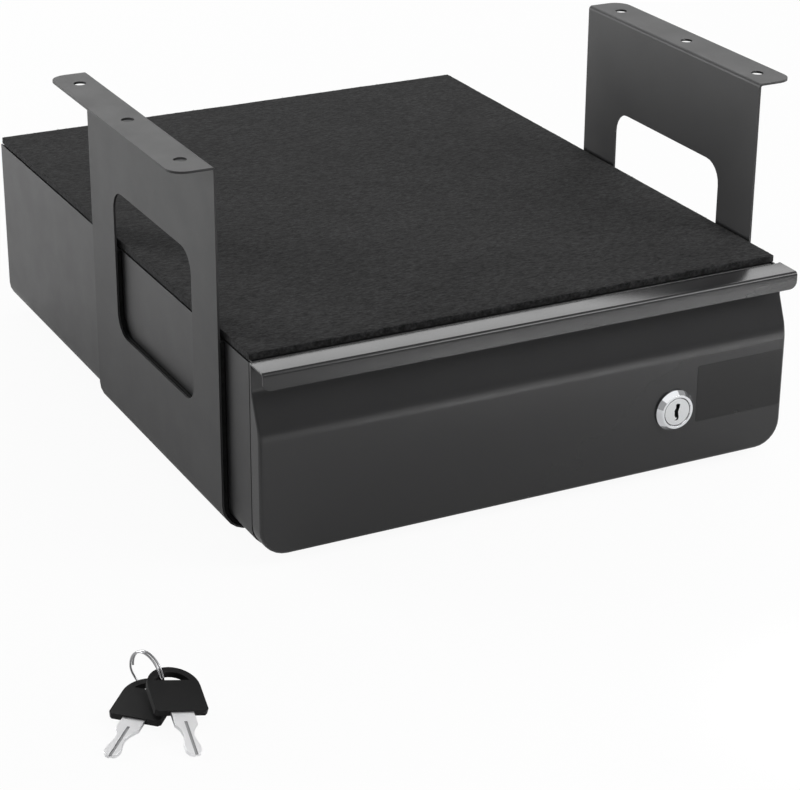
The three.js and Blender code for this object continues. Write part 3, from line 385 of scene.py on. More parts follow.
# Brackets
# One bent plate on each side, with a wide flange for the desk screws, a window and a leg under the housing.
# They carry the same coat as the housing, a little duller.
BRACKET_ROUGHNESS = 0.49
bracket_coat = finish(
    "bracket_coat", COAT_COLOR, BRACKET_ROUGHNESS, tone_spread=0.02, gloss_spread=0.03, speck_amount=0.03,
)
for side in ("left", "right"):
    piece = merged_copy(f"{side}_bracket_coated", f"{side}_bracket")
    round_edges(piece, SHEET_EDGE)
    place(piece, bracket_coat, "housing", "black_steel", f"{side}_bracket")

# Drawer front
# A dished sheet with a crease across it, whose top is folded forward into the handle lip; it is the
# glossiest coated piece. The crease's corner is moved down a little, and crease and neck get wide curves.
FRONT_ROUGHNESS = 0.2
FRONT_BEND = 2.2 * MM
FACE_Y = -127.05 * MM
FACE_LEAN = 8.6 * MM
CREASE_CORNER = -121.6 * MM
CREASE_REACH = 0.6 * MM
CREASE_Z = -122.7 * MM
CREASE_ROUND = 4.6 * MM
NECK_Z = -102.4 * MM
NECK_ROUND = 2.2 * MM
BEND_STEPS = 10
SLICE_REACH = 1e-7
SKIN_BEFORE = 0.1 * MM
SKIN_BEHIND = 1.45 * MM
OUTLINE_REACH = 5.5 * MM
FACE_SLACK = 0.5 * MM
FORWARD = 0.85
SIDEWAYS = 0.3
front_coat = finish(
    "front_coat", COAT_COLOR, FRONT_ROUGHNESS, tone_spread=0.02, gloss_spread=0.02, speck_amount=0.02,
)
front = merged_copy("drawer_front_coated", "drawer_front")
front_low, front_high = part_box("drawer_front")
front_slope = FACE_LEAN / (NECK_Z - CREASE_Z)


def soften(shape, at, reach, turns_in):
    """Slices the front's skin around one level bend and lays the slices on a curve instead of a corner."""
    for step in range(BEND_STEPS + 1):
        level = (0, 0, at + reach * (2 * step / BEND_STEPS - 1))
        geometry = shape.verts[:] + shape.edges[:] + shape.faces[:]
        bmesh.ops.bisect_plane(shape, geom=geometry, dist=SLICE_REACH, plane_co=level, plane_no=(0, 0, 1))
    for vert in shape.verts:
        above = vert.co.z - at
        skin = FACE_Y + min(max((vert.co.z - CREASE_Z) * front_slope, 0), FACE_LEAN)
        if abs(above) >= reach or not -SKIN_BEFORE < vert.co.y - skin < SKIN_BEHIND:
            continue
        if turns_in:
            vert.co.y += (above + reach) ** 2 / (4 * reach) * front_slope - max(above, 0) * front_slope
        else:
            vert.co.y -= (reach - above) ** 2 / (4 * reach) * front_slope - max(-above, 0) * front_slope


def front_share(edge, middle):
    """Rounds the bends at the front's side and bottom edges; the level bends are curved already."""
    facing = [face.normal.y for face in edge.link_faces]
    outer = min(facing) < -FORWARD and max(abs(way) for way in facing if way > -FORWARD) < SIDEWAYS
    on_skin = middle.y > FACE_Y - FACE_SLACK and middle.z < NECK_Z - NECK_ROUND
    by_outline = min(front_high.x - abs(middle.x), middle.z - front_low.z) < OUTLINE_REACH
    return 1 if outer and edge.is_convex and by_outline and on_skin else SHEET_EDGE / FRONT_BEND


front_shape = bmesh.new()
front_shape.from_mesh(front.data)
for vert in front_shape.verts:
    if abs(vert.co.z - CREASE_CORNER) < CREASE_REACH:
        vert.co.z += CREASE_Z - CREASE_CORNER
soften(front_shape, NECK_Z, NECK_ROUND, False)
soften(front_shape, CREASE_Z, CREASE_ROUND, True)
front_shape.to_mesh(front.data)
front_shape.free()
weigh_edges(front, front_share)
round_edges(front, FRONT_BEND, segments=4, by_weight=True)
place(front, front_coat, "drawer", "black_steel", "drawer_front")

# Drawer tray
# A folded tray behind the front, coated like the housing.
# Its sides run forward as tabs onto the front's studs.
tray = merged_copy("drawer_tray_coated", "drawer_tray")
round_edges(tray, SHEET_EDGE)
place(tray, coated, "drawer", "black_steel", "drawer_tray")

# Felt mat
# Pressed black felt, cut to the shelf and glued down, its cut edges rough and its face of matted fibres.
# Loose fibres stand out from the face, and more thickly from the cut edges. Those on the face get a lighter
# felt, a painted sheen; those on the cut edges keep the mat's darker felt, the shaded copy.
FELT_COLOR = (0.0265, 0.0265, 0.027, 1)
BLACK = (0, 0, 0, 1)
MATTING_RUNS = ((25, 2.6), (-40, 2.2), (80, 2.6))
MATTING_SCALE = 300.0
MATTING_RANGE = (0.47, 0.7, 0.4, 1.75)
PATCH_SCALE = 26.0
PATCH_RANGE = (*NOISE_MIDDLE, 0.84, 1.16)
FELT_SURFACE = {"Roughness": 0.95, "Specular IOR Level": 0.12, "Sheen Weight": 0.04, "Sheen Roughness": 0.5}
FELT_RELIEF = {"Strength": 0.8, "Distance": 0.3 * MM}
FELT_STEP = 3 * MM
FELT_EDGE_ANGLE = math.radians(60)
FELT_ROUND = 0.45 * MM
FELT_WAVE = 0.09 * MM
FELT_WAVE_SCALES = (260, 45)
FELT_SEED = 4
# Lighter than the mat's felt: a painted sheen on the face's loose fibres.
FIBRE_SHEEN_COLOR = (0.055, 0.055, 0.056, 1)
FIBRE_LENGTH = 1.5 * MM
FIBRE_RADIUS = 0.035 * MM
FIBRE_ARC = {"Resolution": 3, "Start": (-0.5, 0, 0), "Middle": (0, 0.25, 0.35), "End": (0.5, 0, 0.1)}
FIBRE_TURNS = {"Min": (-0.35, -0.35, 0), "Max": (0.35, 0.35, 2 * math.pi)}
FIBRE_SIZES = {"Min": 0.5, "Max": 1.3}
FIBRE_SINK = 0.12 * MM
FACE_FIBRES = 38000
EDGE_FIBRES = 300000
CUT_STRIP = 2 * MM
UPWARD = 0.8
DOWNWARD = -0.3
PLACE_DIGITS = 7


def felt_material(name, color):
    """Felt: short matted fibres that run every way, with lighter and darker patches and a soft sheen."""
    material = bpy.data.materials.new(name)
    material.use_nodes = True
    tree = material.node_tree
    where = add_node(tree, "ShaderNodeTexCoord").outputs["Object"]
    highest = None
    for turn, stretch in MATTING_RUNS:
        inputs = {"Vector": where, "Rotation": (0, 0, math.radians(turn)), "Scale": (1, stretch, 1)}
        run = add_node(tree, "ShaderNodeMapping", inputs).outputs["Vector"]
        height = noise_at(tree, run, MATTING_SCALE, detail=4, roughness=0.65)
        highest = height if highest is None else computed(tree, "MAXIMUM", highest, height)
    patches = ranged(tree, noise_at(tree, where, PATCH_SCALE, detail=6, roughness=0.7), *PATCH_RANGE)
    tone = computed(tree, "MULTIPLY", patches, ranged(tree, highest, *MATTING_RANGE))
    bump = add_node(tree, "ShaderNodeBump", FELT_RELIEF | {"Height": highest})
    inputs = {
        "Base Color": mixed_color(tree, tone, BLACK, color, clamp_factor=False),
        "Normal": bump.outputs["Normal"],
    }
    feed(tree, tree.nodes["Principled BSDF"], FELT_SURFACE | inputs)
    return material


def felt_slab(name, low, high):
    """A slab of felt on a fine grid, its edges rounded, with every point a little out of place."""
    size = high - low
    across = round(size.x / FELT_STEP)
    deep = round(size.y / FELT_STEP)
    centre = Vector(((low.x + high.x) / 2, (low.y + high.y) / 2, high.z))
    shape = bmesh.new()
    bmesh.ops.create_grid(shape, x_segments=across, y_segments=deep, size=0.5)
    for vert in shape.verts:
        vert.co = Vector((vert.co.x * size.x, vert.co.y * size.y, 0)) + centre
    rim = bmesh.ops.extrude_face_region(shape, geom=shape.faces[:])
    lower = [part for part in rim["geom"] if isinstance(part, bmesh.types.BMVert)]
    bmesh.ops.translate(shape, verts=lower, vec=(0, 0, -size.z))
    bmesh.ops.recalc_face_normals(shape, faces=shape.faces)
    sharp = [edge for edge in shape.edges if edge.calc_face_angle(0) > FELT_EDGE_ANGLE]
    bmesh.ops.bevel(shape, geom=sharp, offset=FELT_ROUND, segments=3, profile=0.5, affect="EDGES")
    noise.seed_set(FELT_SEED)
    for vert in shape.verts:
        fine, broad = (noise.noise_vector(vert.co * scale) * FELT_WAVE for scale in FELT_WAVE_SCALES)
        vert.co += fine + broad
    piece = to_piece(name, shape)
    piece.data.shade_smooth()
    return piece


def geometry_tree(name, sockets):
    """An empty geometry node tree with a mesh in and out; sockets are (name, socket type)."""
    tree = bpy.data.node_groups.new(name, "GeometryNodeTree")
    tree.interface.new_socket("Mesh", in_out="INPUT", socket_type="NodeSocketGeometry")
    tree.interface.new_socket("Mesh", in_out="OUTPUT", socket_type="NodeSocketGeometry")
    for label, kind in sockets:
        tree.interface.new_socket(label, in_out="INPUT", socket_type=kind)
    return tree, tree.nodes.new("NodeGroupInput").outputs, tree.nodes.new("NodeGroupOutput")


def finish_tree(tree, shapes, material, out):
    """Ends a geometry node tree: its instances are made real and given their material."""
    real = add_node(tree, "GeometryNodeRealizeInstances", {"Geometry": shapes}).outputs["Geometry"]
    covered = add_node(tree, "GeometryNodeSetMaterial", {"Geometry": real, "Material": material})
    feed(tree, out, {"Mesh": covered.outputs["Geometry"]})
    return tree


def made_by(tree, name, base, **values):
    """The plain mesh that a geometry node tree makes from a base object, as a new piece without the base."""
    modifier = base.modifiers.new("maker", "NODES")
    modifier.node_group = tree
    sockets = {
        item.name: item.identifier for item in tree.interface.items_tree
        if item.item_type == "SOCKET" and item.in_out == "INPUT"
    }
    for label, value in values.items():
        modifier[sockets[label.replace("_", " ").title()]] = value
    base.update_tag()
    evaluated = base.evaluated_get(bpy.context.evaluated_depsgraph_get())
    mesh = bpy.data.meshes.new_from_object(evaluated)
    mesh.name = name
    base.modifiers.clear()
    bpy.data.objects.remove(base)
    return link_piece(name, mesh)


def fibre_tree():
    """Short bent fibres strewn over a mesh, so many to a square metre, each turned and sized at random."""
    tree, given, out = geometry_tree("felt_fibres", [
        ("Density", "NodeSocketFloat"), ("Length", "NodeSocketFloat"), ("Radius", "NodeSocketFloat"),
        ("Seed", "NodeSocketInt"), ("Finish", "NodeSocketMaterial"),
    ])
    seed = {"Seed": given["Seed"]}
    inputs = {"Mesh": given["Mesh"], "Density": given["Density"]}
    strewn = add_node(tree, "GeometryNodeDistributePointsOnFaces", inputs | seed).outputs
    arc = add_node(tree, "GeometryNodeCurveQuadraticBezier", FIBRE_ARC)
    share = computed(tree, "DIVIDE", given["Radius"], given["Length"])
    thread = add_node(tree, "GeometryNodeCurvePrimitiveCircle", {"Resolution": 3, "Radius": share})
    inputs = {"Curve": arc.outputs["Curve"], "Profile Curve": thread.outputs["Curve"]}
    fibre = add_node(tree, "GeometryNodeCurveToMesh", inputs)
    turn = add_node(tree, "FunctionNodeRandomValue", FIBRE_TURNS | seed, data_type="FLOAT_VECTOR")
    inputs = {"Rotation": strewn["Rotation"], "Rotate By": turn.outputs["Value"]}
    both_turns = add_node(tree, "FunctionNodeRotateRotation", inputs, rotation_space="LOCAL")
    size = add_node(tree, "FunctionNodeRandomValue", FIBRE_SIZES | seed)
    scale = computed(tree, "MULTIPLY", size.outputs["Value"], given["Length"])
    placed = add_node(tree, "GeometryNodeInstanceOnPoints", {
        "Points": strewn["Points"], "Instance": fibre.outputs["Mesh"],
        "Rotation": both_turns.outputs["Rotation"], "Scale": scale,
    })
    return finish_tree(tree, placed.outputs["Instances"], given["Finish"], out)


def strew_ground(name, piece, wanted):
    """The faces of a piece that are wanted, a little sunk, put in an order that is the same in every run."""
    verts = piece.data.vertices
    rings = []
    for face in piece.data.polygons:
        if not wanted(face):
            continue
        sunk = [verts[corner].co - verts[corner].normal * FIBRE_SINK for corner in face.vertices]
        ring = [tuple(round(value, PLACE_DIGITS) for value in point) for point in sunk]
        first = ring.index(min(ring))
        rings.append(ring[first:] + ring[:first])
    rings.sort()
    points = sorted({point for ring in rings for point in ring})
    number = {point: index for index, point in enumerate(points)}
    mesh = bpy.data.meshes.new(name)
    mesh.from_pydata(points, [], [[number[point] for point in ring] for ring in rings])
    return link_piece(name, mesh)


mat_low, mat_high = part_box("felt_mat")
mat_middle = (mat_low + mat_high) / 2
mat_half = (mat_high - mat_low) / 2
felt = felt_material("black_felt", FELT_COLOR)
# A lighter copy of the felt for the face's fibres, a painted sheen.
sheen_fibre_felt = felt_material("felt_fibre", FIBRE_SHEEN_COLOR)
mat = felt_slab("felt_mat_cut", mat_low, mat_high)


def by_cut_edge(face):
    """Whether a face of the mat lies on its cut sides or in the last two millimetres of its top."""
    middle = face.center - mat_middle
    beside = mat_half.x - abs(middle.x) < CUT_STRIP or mat_half.y - abs(middle.y) < CUT_STRIP
    return beside and face.normal.z > DOWNWARD


def on_top(face):
    return face.normal.z > UPWARD


FIBRES = fibre_tree()
face_fibres = made_by(
    FIBRES, "felt_face_fibres", strew_ground("fibre_ground", mat, on_top),
    density=FACE_FIBRES, length=FIBRE_LENGTH, radius=FIBRE_RADIUS, seed=3, finish=sheen_fibre_felt,
)
# Fibres on the cut edges take the mat's darker felt, the shaded copy beside the face's lighter fibres.
edge_fibres = made_by(
    FIBRES, "felt_edge_fibres", strew_ground("edge_ground", mat, by_cut_edge),
    density=EDGE_FIBRES, length=FIBRE_LENGTH, radius=FIBRE_RADIUS, seed=5, finish=felt,
)
place(mat, felt, "housing", "black_felt", "felt_mat")
place(face_fibres, sheen_fibre_felt, "housing", "black_felt")
place(edge_fibres, felt, "housing", "black_felt")

# Bracket liners
# A strip of thinner felt between each bracket and the housing, so that the coat isn't scratched; its
# near-black colour, darker than the mat's felt, is also painted shade for the gap there.
# It is cut with the bracket's window and folded once under the housing with the bracket's leg.
# Near black: the liner's own colour together with painted shade for the gap.
LINER_AND_GAP_SHADE_COLOR = (0.006, 0.006, 0.006, 1)
LINER_EDGE = 0.5 * MM
liner_felt = felt_material("liner_felt", LINER_AND_GAP_SHADE_COLOR)
for side in ("left", "right"):
    piece = merged_copy(f"{side}_liner_cut", f"{side}_bracket_liner")
    round_edges(piece, LINER_EDGE)
    place(piece, liner_felt, "housing", "liner_felt", f"{side}_bracket_liner")

# Slides
# Zinc-plated channels and rails with a strip of caged balls between them; the balls are hardened steel.
# Pan-head screws with a cross slot hold each rail to the drawer's side.
ZINC_COLOR = (0.5, 0.51, 0.53, 1)
BALL_COLOR = (0.6, 0.6, 0.61, 1)
SLIDE_EDGE = 0.15 * MM
BALL_RADIUS = 1.62 * MM
BALL_X = 143.35 * MM
BALL_FIRST = 16.25 * MM
BALL_RUN = 88 * MM
BALL_COUNT = 4
BALL_ROW = 14.4 * MM
SLIDE_Z = -140.7 * MM
HEAD_RISE = 2.2 * MM
RAIL_HEAD = 3.7 * MM
RAIL_SLOT = 2.1 * MM
SLOT_WIDTH = 0.5 * MM
SLOT_DEPTH = 1 * MM
SOCKET_FLOOR = 0.6
SOCKET_WALL = 0.8
DOME_PARTS = (0.75, 0.9, 1.0)
DOME_CURVE = 0.8
DOME_DROP = 1.4
NEAR_ZERO = 0.05
SMALL_THREAD = 1.95 * MM
THREAD_PITCH = 0.8 * MM
THREAD_DEPTH = 0.5
THREAD_RINGS = 6
RAIL_THREAD_START = 0.1 * MM
NOT_TURNED = (0.0, 0.0, 0.0)
zinc = finish(
    "bright_zinc", ZINC_COLOR, roughness=0.32, metallic=1.0, relief=0.05, tone_spread=0.12,
    gloss_spread=0.08, speck_amount=0.0,
)
ball_steel = finish(
    "ball_steel", BALL_COLOR, roughness=0.12, metallic=1.0, relief=0.01, tone_spread=0.04, speck_amount=0.0,
)


def turned_shape(name, rings, steps=48, closed=False):
    """A solid about its Z axis. Each ring is (radius, height), numbers or functions of the angle."""
    shape = bmesh.new()
    loops = []
    for radius, height in rings:
        loop = []
        for step in range(steps):
            angle = 2 * math.pi * step / steps
            reach = radius(angle) if callable(radius) else radius
            level = height(angle) if callable(height) else height
            loop.append(shape.verts.new((reach * math.cos(angle), reach * math.sin(angle), level)))
        loops.append(loop)
    pairs = list(zip(loops, loops[1:]))
    if closed:
        pairs.append((loops[-1], loops[0]))
    else:
        shape.faces.new(loops[0])
        shape.faces.new(loops[-1])
    for upper, lower in pairs:
        for step in range(steps):
            after = (step + 1) % steps
            shape.faces.new((upper[step], upper[after], lower[after], lower[step]))
    bmesh.ops.recalc_face_normals(shape, faces=shape.faces)
    piece = to_piece(name, shape)
    smooth(piece)
    return piece


def polygon(across, sides, turn=0.0):
    """The radius of a regular polygon, given across its flats, as a function of the angle."""
    part = 2 * math.pi / sides
    return lambda angle: across / 2 / math.cos((angle - turn) % part - part / 2)


def hex_nut(name, across, height, bore):
    """A hexagon nut about its Z axis, from height 0 up, both ends chamfered, its bore countersunk."""
    flat = polygon(across, 6)
    rim = 0.96 * across / 2
    slope = math.tan(math.radians(30))
    mouth = bore + 0.3 * MM
    sink = 0.35 * MM
    return turned_shape(name, [
        (mouth, 0), (rim, 0), (flat, lambda angle: (flat(angle) - rim) * slope),
        (flat, lambda angle: height - (flat(angle) - rim) * slope), (rim, height), (mouth, height),
        (bore, height - sink), (bore, sink),
    ], closed=True)


def cross_slot(arm, width):
    """The radius of a cross slot with four arms as a function of the angle."""
    def radius(angle):
        off = abs((angle + math.pi / 4) % (math.pi / 2) - math.pi / 4)
        return min(arm / math.cos(off), width / max(math.sin(off), NEAR_ZERO), arm)
    return radius


def domed_head(radius, height, socket, depth):
    """Rings of a domed screw head from its socket's floor out over the dome to its rim."""
    rings = [
        (lambda angle: SOCKET_FLOOR * socket(angle), -height + depth),
        (socket, -height + depth * SOCKET_WALL),
        (socket, -height),
    ]
    for part in DOME_PARTS:
        drop = 1 - math.sqrt(1 - DOME_CURVE * part * part)
        rings.append((radius * part, -height + drop * height * DOME_DROP))
    rings.append((radius, 0))
    return rings


def threaded(radius, start, end, pitch=THREAD_PITCH):
    """Rings of a right-hand screw thread from one height to another, cut into a rod."""
    def groove(height):
        turns = height / pitch
        depth = THREAD_DEPTH * pitch
        return lambda angle: radius - depth * abs(2 * ((turns - angle / (2 * math.pi)) % 1) - 1)
    count = round(abs(end - start) / (pitch / THREAD_RINGS))
    heights = [start + (end - start) * step / count for step in range(count + 1)]
    return [(groove(height), height) for height in heights]


def repeat_tree():
    """One shape set at every point of a mesh, all turned alike, made real and given a material."""
    tree, given, out = geometry_tree("repeat_on_points", [
        ("Shape", "NodeSocketObject"), ("Turn", "NodeSocketVector"), ("Finish", "NodeSocketMaterial"),
    ])
    shape = add_node(tree, "GeometryNodeObjectInfo", {"Object": given["Shape"]})
    turn = add_node(tree, "FunctionNodeEulerToRotation", {"Euler": given["Turn"]})
    placed = add_node(tree, "GeometryNodeInstanceOnPoints", {
        "Points": given["Mesh"], "Instance": shape.outputs["Geometry"], "Rotation": turn.outputs["Rotation"],
    })
    return finish_tree(tree, placed.outputs["Instances"], given["Finish"], out)


REPEAT = repeat_tree()


def repeated(name, shape, spots, turn, material):
    """The same shape at each spot as one piece; the shape itself goes away."""
    points = bpy.data.meshes.new(f"{name}_spots")
    points.from_pydata([tuple(spot) for spot in spots], [], [])
    base = link_piece(f"{name}_spots", points)
    piece = made_by(REPEAT, name, base, shape=shape, turn=turn, finish=material)
    bpy.data.objects.remove(shape)
    return piece


def spots_of(nodes, axis, value):
    """The middles of these nodes, all with the same value on one axis."""
    spots = []
    for node in nodes:
        low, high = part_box(node)
        spot = (low + high) / 2
        setattr(spot, axis, value)
        spots.append(spot)
    return spots


def rounded_ball(name, radius):
    shape = bmesh.new()
    bmesh.ops.create_icosphere(shape, subdivisions=3, radius=radius)
    piece = to_piece(name, shape)
    piece.data.shade_smooth()
    return piece


for side, sign in (("left", -1), ("right", 1)):
    cage = f"{side}_cage"
    for node, body in (("slide_channel", "housing"), ("slide_rail", "drawer"), ("ball_cage", cage)):
        piece = merged_copy(f"{side}_{node}_plated", f"{side}_{node}")
        round_edges(piece, SLIDE_EDGE)
        place(piece, zinc, body, "zinc_steel", f"{side}_{node}")
    spots = [
        (sign * BALL_X, BALL_FIRST + BALL_RUN * (ball + 0.5) / BALL_COUNT, SLIDE_Z + row * BALL_ROW)
        for ball in range(BALL_COUNT) for row in (-1, 1)
    ]
    balls = repeated(f"{side}_balls", rounded_ball("ball", BALL_RADIUS), spots, NOT_TURNED, ball_steel)
    place(balls, ball_steel, cage, "zinc_steel")
    screws = [f"{side}_rail_screw_1", f"{side}_rail_screw_2"]
    low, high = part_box(screws[0])
    in_x = high.x if sign < 0 else low.x
    shank = high.x - low.x - HEAD_RISE
    head = domed_head(RAIL_HEAD, HEAD_RISE, cross_slot(RAIL_SLOT, SLOT_WIDTH), SLOT_DEPTH)
    shape = turned_shape("rail_screw", head + threaded(SMALL_THREAD, RAIL_THREAD_START, shank))
    spots = spots_of(screws, "x", in_x + sign * HEAD_RISE)
    piece = repeated(f"{side}_rail_screws", shape, spots, (0.0, sign * math.pi / 2, 0.0), zinc)
    place(piece, zinc, "drawer", "zinc_steel", *screws)

# Bracket bolts and nuts
# Four low-headed bolts with a hexagon socket come up through the legs and the floor into hexagon nuts.
# Both are zinc-plated. The bolts' heads are the part's feet when it stands on a table.
BOLT_HEAD = 5 * MM
BOLT_THREAD = 2.48 * MM
BOLT_THREAD_START = 0.05 * MM
BOLT_SOCKET = 3 * MM
SOCKET_DEPTH = 1.3 * MM
NUT_ACROSS = 8 * MM
NUT_BORE = 2.62 * MM
corner_names = [f"{side}_bracket_{{}}_{number}" for side in ("left", "right") for number in (1, 2)]
bolts = [name.format("bolt") for name in corner_names]
nuts = [name.format("nut") for name in corner_names]
low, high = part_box(bolts[0])
head = domed_head(BOLT_HEAD, HEAD_RISE, polygon(BOLT_SOCKET, 6), SOCKET_DEPTH)
shank = high.z - low.z - HEAD_RISE
bolt = turned_shape("bolt", head + threaded(BOLT_THREAD, BOLT_THREAD_START, shank))
piece = repeated("bracket_bolts_plated", bolt, spots_of(bolts, "z", low.z + HEAD_RISE), NOT_TURNED, zinc)
place(piece, zinc, "housing", "zinc_steel", *bolts)
low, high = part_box(nuts[0])
nut = hex_nut("nut", NUT_ACROSS, high.z - low.z, NUT_BORE)
piece = repeated("bracket_nuts_plated", nut, spots_of(nuts, "z", low.z), NOT_TURNED, zinc)
place(piece, zinc, "housing", "zinc_steel", *nuts)

# Drawer front's nuts
# Four small hexagon nuts, zinc-plated like the bolts.
# They hold the tray's tabs on the studs at the back of the drawer front.
STUD_NUT_ACROSS = 7 * MM
STUD_NUT_BORE = 2.1 * MM
studs = [f"front_nut_{number}" for number in (1, 2, 3, 4)]
low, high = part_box(studs[0])
nut = hex_nut("stud_nut", STUD_NUT_ACROSS, high.y - low.y, STUD_NUT_BORE)
piece = repeated("front_nuts_plated", nut, spots_of(studs, "y", low.y), (-math.pi / 2, 0.0, 0.0), zinc)
place(piece, zinc, "drawer", "zinc_steel", *studs)

# Label
# A small dark film label with rounded corners, stuck on the drawer front beside the lock.
# It is bare and a little smoother than the coat; its back lies just inside the face, so that no gap shows.
LABEL_COLOR = (0.006, 0.006, 0.0062, 1)
LABEL_THICKNESS = 0.14 * MM
LABEL_SINK = 0.02 * MM
LABEL_BACK_REACH = 0.01 * MM
LABEL_EDGE = 0.04 * MM
label_film = finish("label_film", LABEL_COLOR, roughness=0.25, ior=1.43, relief=0.2, speck_amount=0.04)
label = merged_copy("label_film_piece", "blank_label")
label_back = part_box("blank_label")[1].y
for vert in label.data.vertices:
    at_back = label_back - vert.co.y < LABEL_BACK_REACH
    vert.co.y = FACE_Y - (LABEL_SINK if at_back else LABEL_THICKNESS)
round_edges(label, LABEL_EDGE)
place(label, label_film, "drawer", "label_film", "blank_label")

# Lock
# A cam lock: a chromed body with a sloped rim, a turned plug with the keyway, and on its tail the cam
# behind the drawer front. A washer and a wide hexagon nut clamp the body; the catch is a folded strip.
LOCK_X = 82.8 * MM
LOCK_Z = -154.2 * MM
BODY_BORE = 7.7 * MM
BODY_THREAD = 9.5 * MM
BODY_PITCH = 1 * MM
BODY_NECK = 2 * MM
BODY_THREAD_START = 2.1 * MM
BORE_CHAMFER = 0.5 * MM
BODY_END = -110.85 * MM
BEZEL_SEAT = -127.35 * MM
BEZEL_NOSE = -130.85 * MM
BEZEL_INNER = 8.0 * MM
BEZEL_OUTER = 9.2 * MM
BEZEL_SHOULDER = 11.25 * MM
BEZEL_RIM = 11.3 * MM
BEZEL_RIM_HEIGHT = 0.9 * MM
BEZEL_EDGE = 0.2 * MM
BEZEL_EDGE_ANGLE = math.radians(30)
PLUG_RADIUS = 7.4 * MM
PLUG_STEPS = 72
PLUG_FLAT_ANGLE = math.radians(0.5)
PLUG_NOSE = -130.45 * MM
PLUG_END = -110.25 * MM
PLUG_EDGE = 0.1 * MM
KEYWAY_DEPTH = 15 * MM
KEYWAY = (
    (-0.97, 4.15), (0.11, 4.59), (1.61, 4.08), (1.40, 2.48), (0.86, 0.94), (0.54, -0.02), (0.86, -1.75),
    (1.08, -3.25), (0.75, -4.62), (-0.75, -4.79), (-1.29, -4.36), (-0.11, -4.01), (0.11, -3.23),
    (-0.86, -3.11), (-1.61, -1.60), (-1.51, -0.18), (-1.72, 0.91), (-0.75, 2.34), (-0.75, 3.38),
)
TAIL_WIDTH = 6 * MM
TAIL_OVERLAP = 0.5 * MM
TAIL_EDGE = 0.2 * MM
WASHER_BORE = 9.8 * MM
WASHER_RIM = 12.5 * MM
LOCK_NUT_ACROSS = 24 * MM
LOCK_NUT_BORE = 9.65 * MM
NUT_EDGE = 0.15 * MM
CAM_SCREW_HEAD = 4 * MM
CAM_SCREW_SLOT = 2.2 * MM
CAM_SCREW_NECK = 0.05 * MM
CAM_EDGE = 0.25 * MM
ON_LOCK = Matrix.Translation((LOCK_X, 0, LOCK_Z)) @ Matrix.Rotation(-math.pi / 2, 4, "X")
CHROME_COLOR = (0.78, 0.79, 0.81, 1)
NICKEL_COLOR = (0.72, 0.73, 0.74, 1)
chrome = finish(
    "polished_chrome", CHROME_COLOR, roughness=0.07, metallic=1.0, relief=0.015, tone_spread=0.02,
    gloss_spread=0.02, speck_amount=0.0,
)
nickel = finish(
    "milled_nickel", NICKEL_COLOR, roughness=0.2, metallic=1.0, relief=0.08, tone_spread=0.08,
    gloss_spread=0.06, speck_amount=0.0,
)


def on_lock_axis(piece):
    """Turns a shape about Z so that it lies about the lock's axis, its heights along Y."""
    piece.data.transform(ON_LOCK)
    piece.data.update()
    return piece


bezel = on_lock_axis(turned_shape("lock_bezel", [
    (BODY_BORE, BEZEL_NOSE + BORE_CHAMFER), (BEZEL_INNER, BEZEL_NOSE), (BEZEL_OUTER, BEZEL_NOSE),
    (BEZEL_SHOULDER, BEZEL_SEAT - BEZEL_RIM_HEIGHT), (BEZEL_RIM, BEZEL_SEAT), (BODY_THREAD, BEZEL_SEAT),
    (BODY_THREAD, BEZEL_SEAT + BODY_NECK),
    *threaded(BODY_THREAD, BEZEL_SEAT + BODY_THREAD_START, BODY_END, pitch=BODY_PITCH),
    (BODY_BORE, BODY_END),
], steps=96, closed=True))
round_edges(bezel, BEZEL_EDGE, angle=BEZEL_EDGE_ANGLE)
place(bezel, chrome, "drawer", "chrome", "lock_body")


def plug_piece(name):
    """The round plug along Y, whose nose has the keyway cut into it."""
    shape = bmesh.new()
    turns = [2 * math.pi * step / PLUG_STEPS for step in range(PLUG_STEPS)]
    rim = [Vector((PLUG_RADIUS * math.sin(turn), PLUG_RADIUS * math.cos(turn))) for turn in turns]
    way = [Vector((x * MM, z * MM)) for x, z in KEYWAY]

    def ring(points, y):
        return [shape.verts.new((LOCK_X + point.x, y, LOCK_Z + point.y)) for point in points]

    def walls(first, second):
        for step in range(len(first)):
            after = (step + 1) % len(first)
            shape.faces.new((first[step], first[after], second[after], second[step]))

    nose_rim, end_rim = ring(rim, PLUG_NOSE), ring(rim, PLUG_END)
    nose_way, deep_way = ring(way, PLUG_NOSE), ring(way, PLUG_NOSE + KEYWAY_DEPTH)
    corners = nose_rim + nose_way
    for triangle in tessellate_polygon([[point.to_3d() for point in points] for points in (rim, way)]):
        shape.faces.new([corners[corner] for corner in triangle])
    walls(nose_rim, end_rim)
    walls(nose_way, deep_way)
    shape.faces.new(end_rim)
    shape.faces.new(deep_way)
    bmesh.ops.recalc_face_normals(shape, faces=shape.faces)
    bmesh.ops.dissolve_limit(shape, angle_limit=PLUG_FLAT_ANGLE, verts=shape.verts, edges=shape.edges)
    return to_piece(name, shape)


plug = plug_piece("lock_plug_turned")
round_edges(plug, PLUG_EDGE)
place(plug, nickel, "lock_core", "key_steel", "lock_plug")
tail_side = polygon(TAIL_WIDTH, 4, math.pi / 4)
tail_rings = [(tail_side, PLUG_END - TAIL_OVERLAP), (tail_side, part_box("lock_plug")[1].y)]
tail = on_lock_axis(turned_shape("lock_plug_tail", tail_rings, steps=4))
round_edges(tail, TAIL_EDGE)
place(tail, nickel, "lock_core", "key_steel")

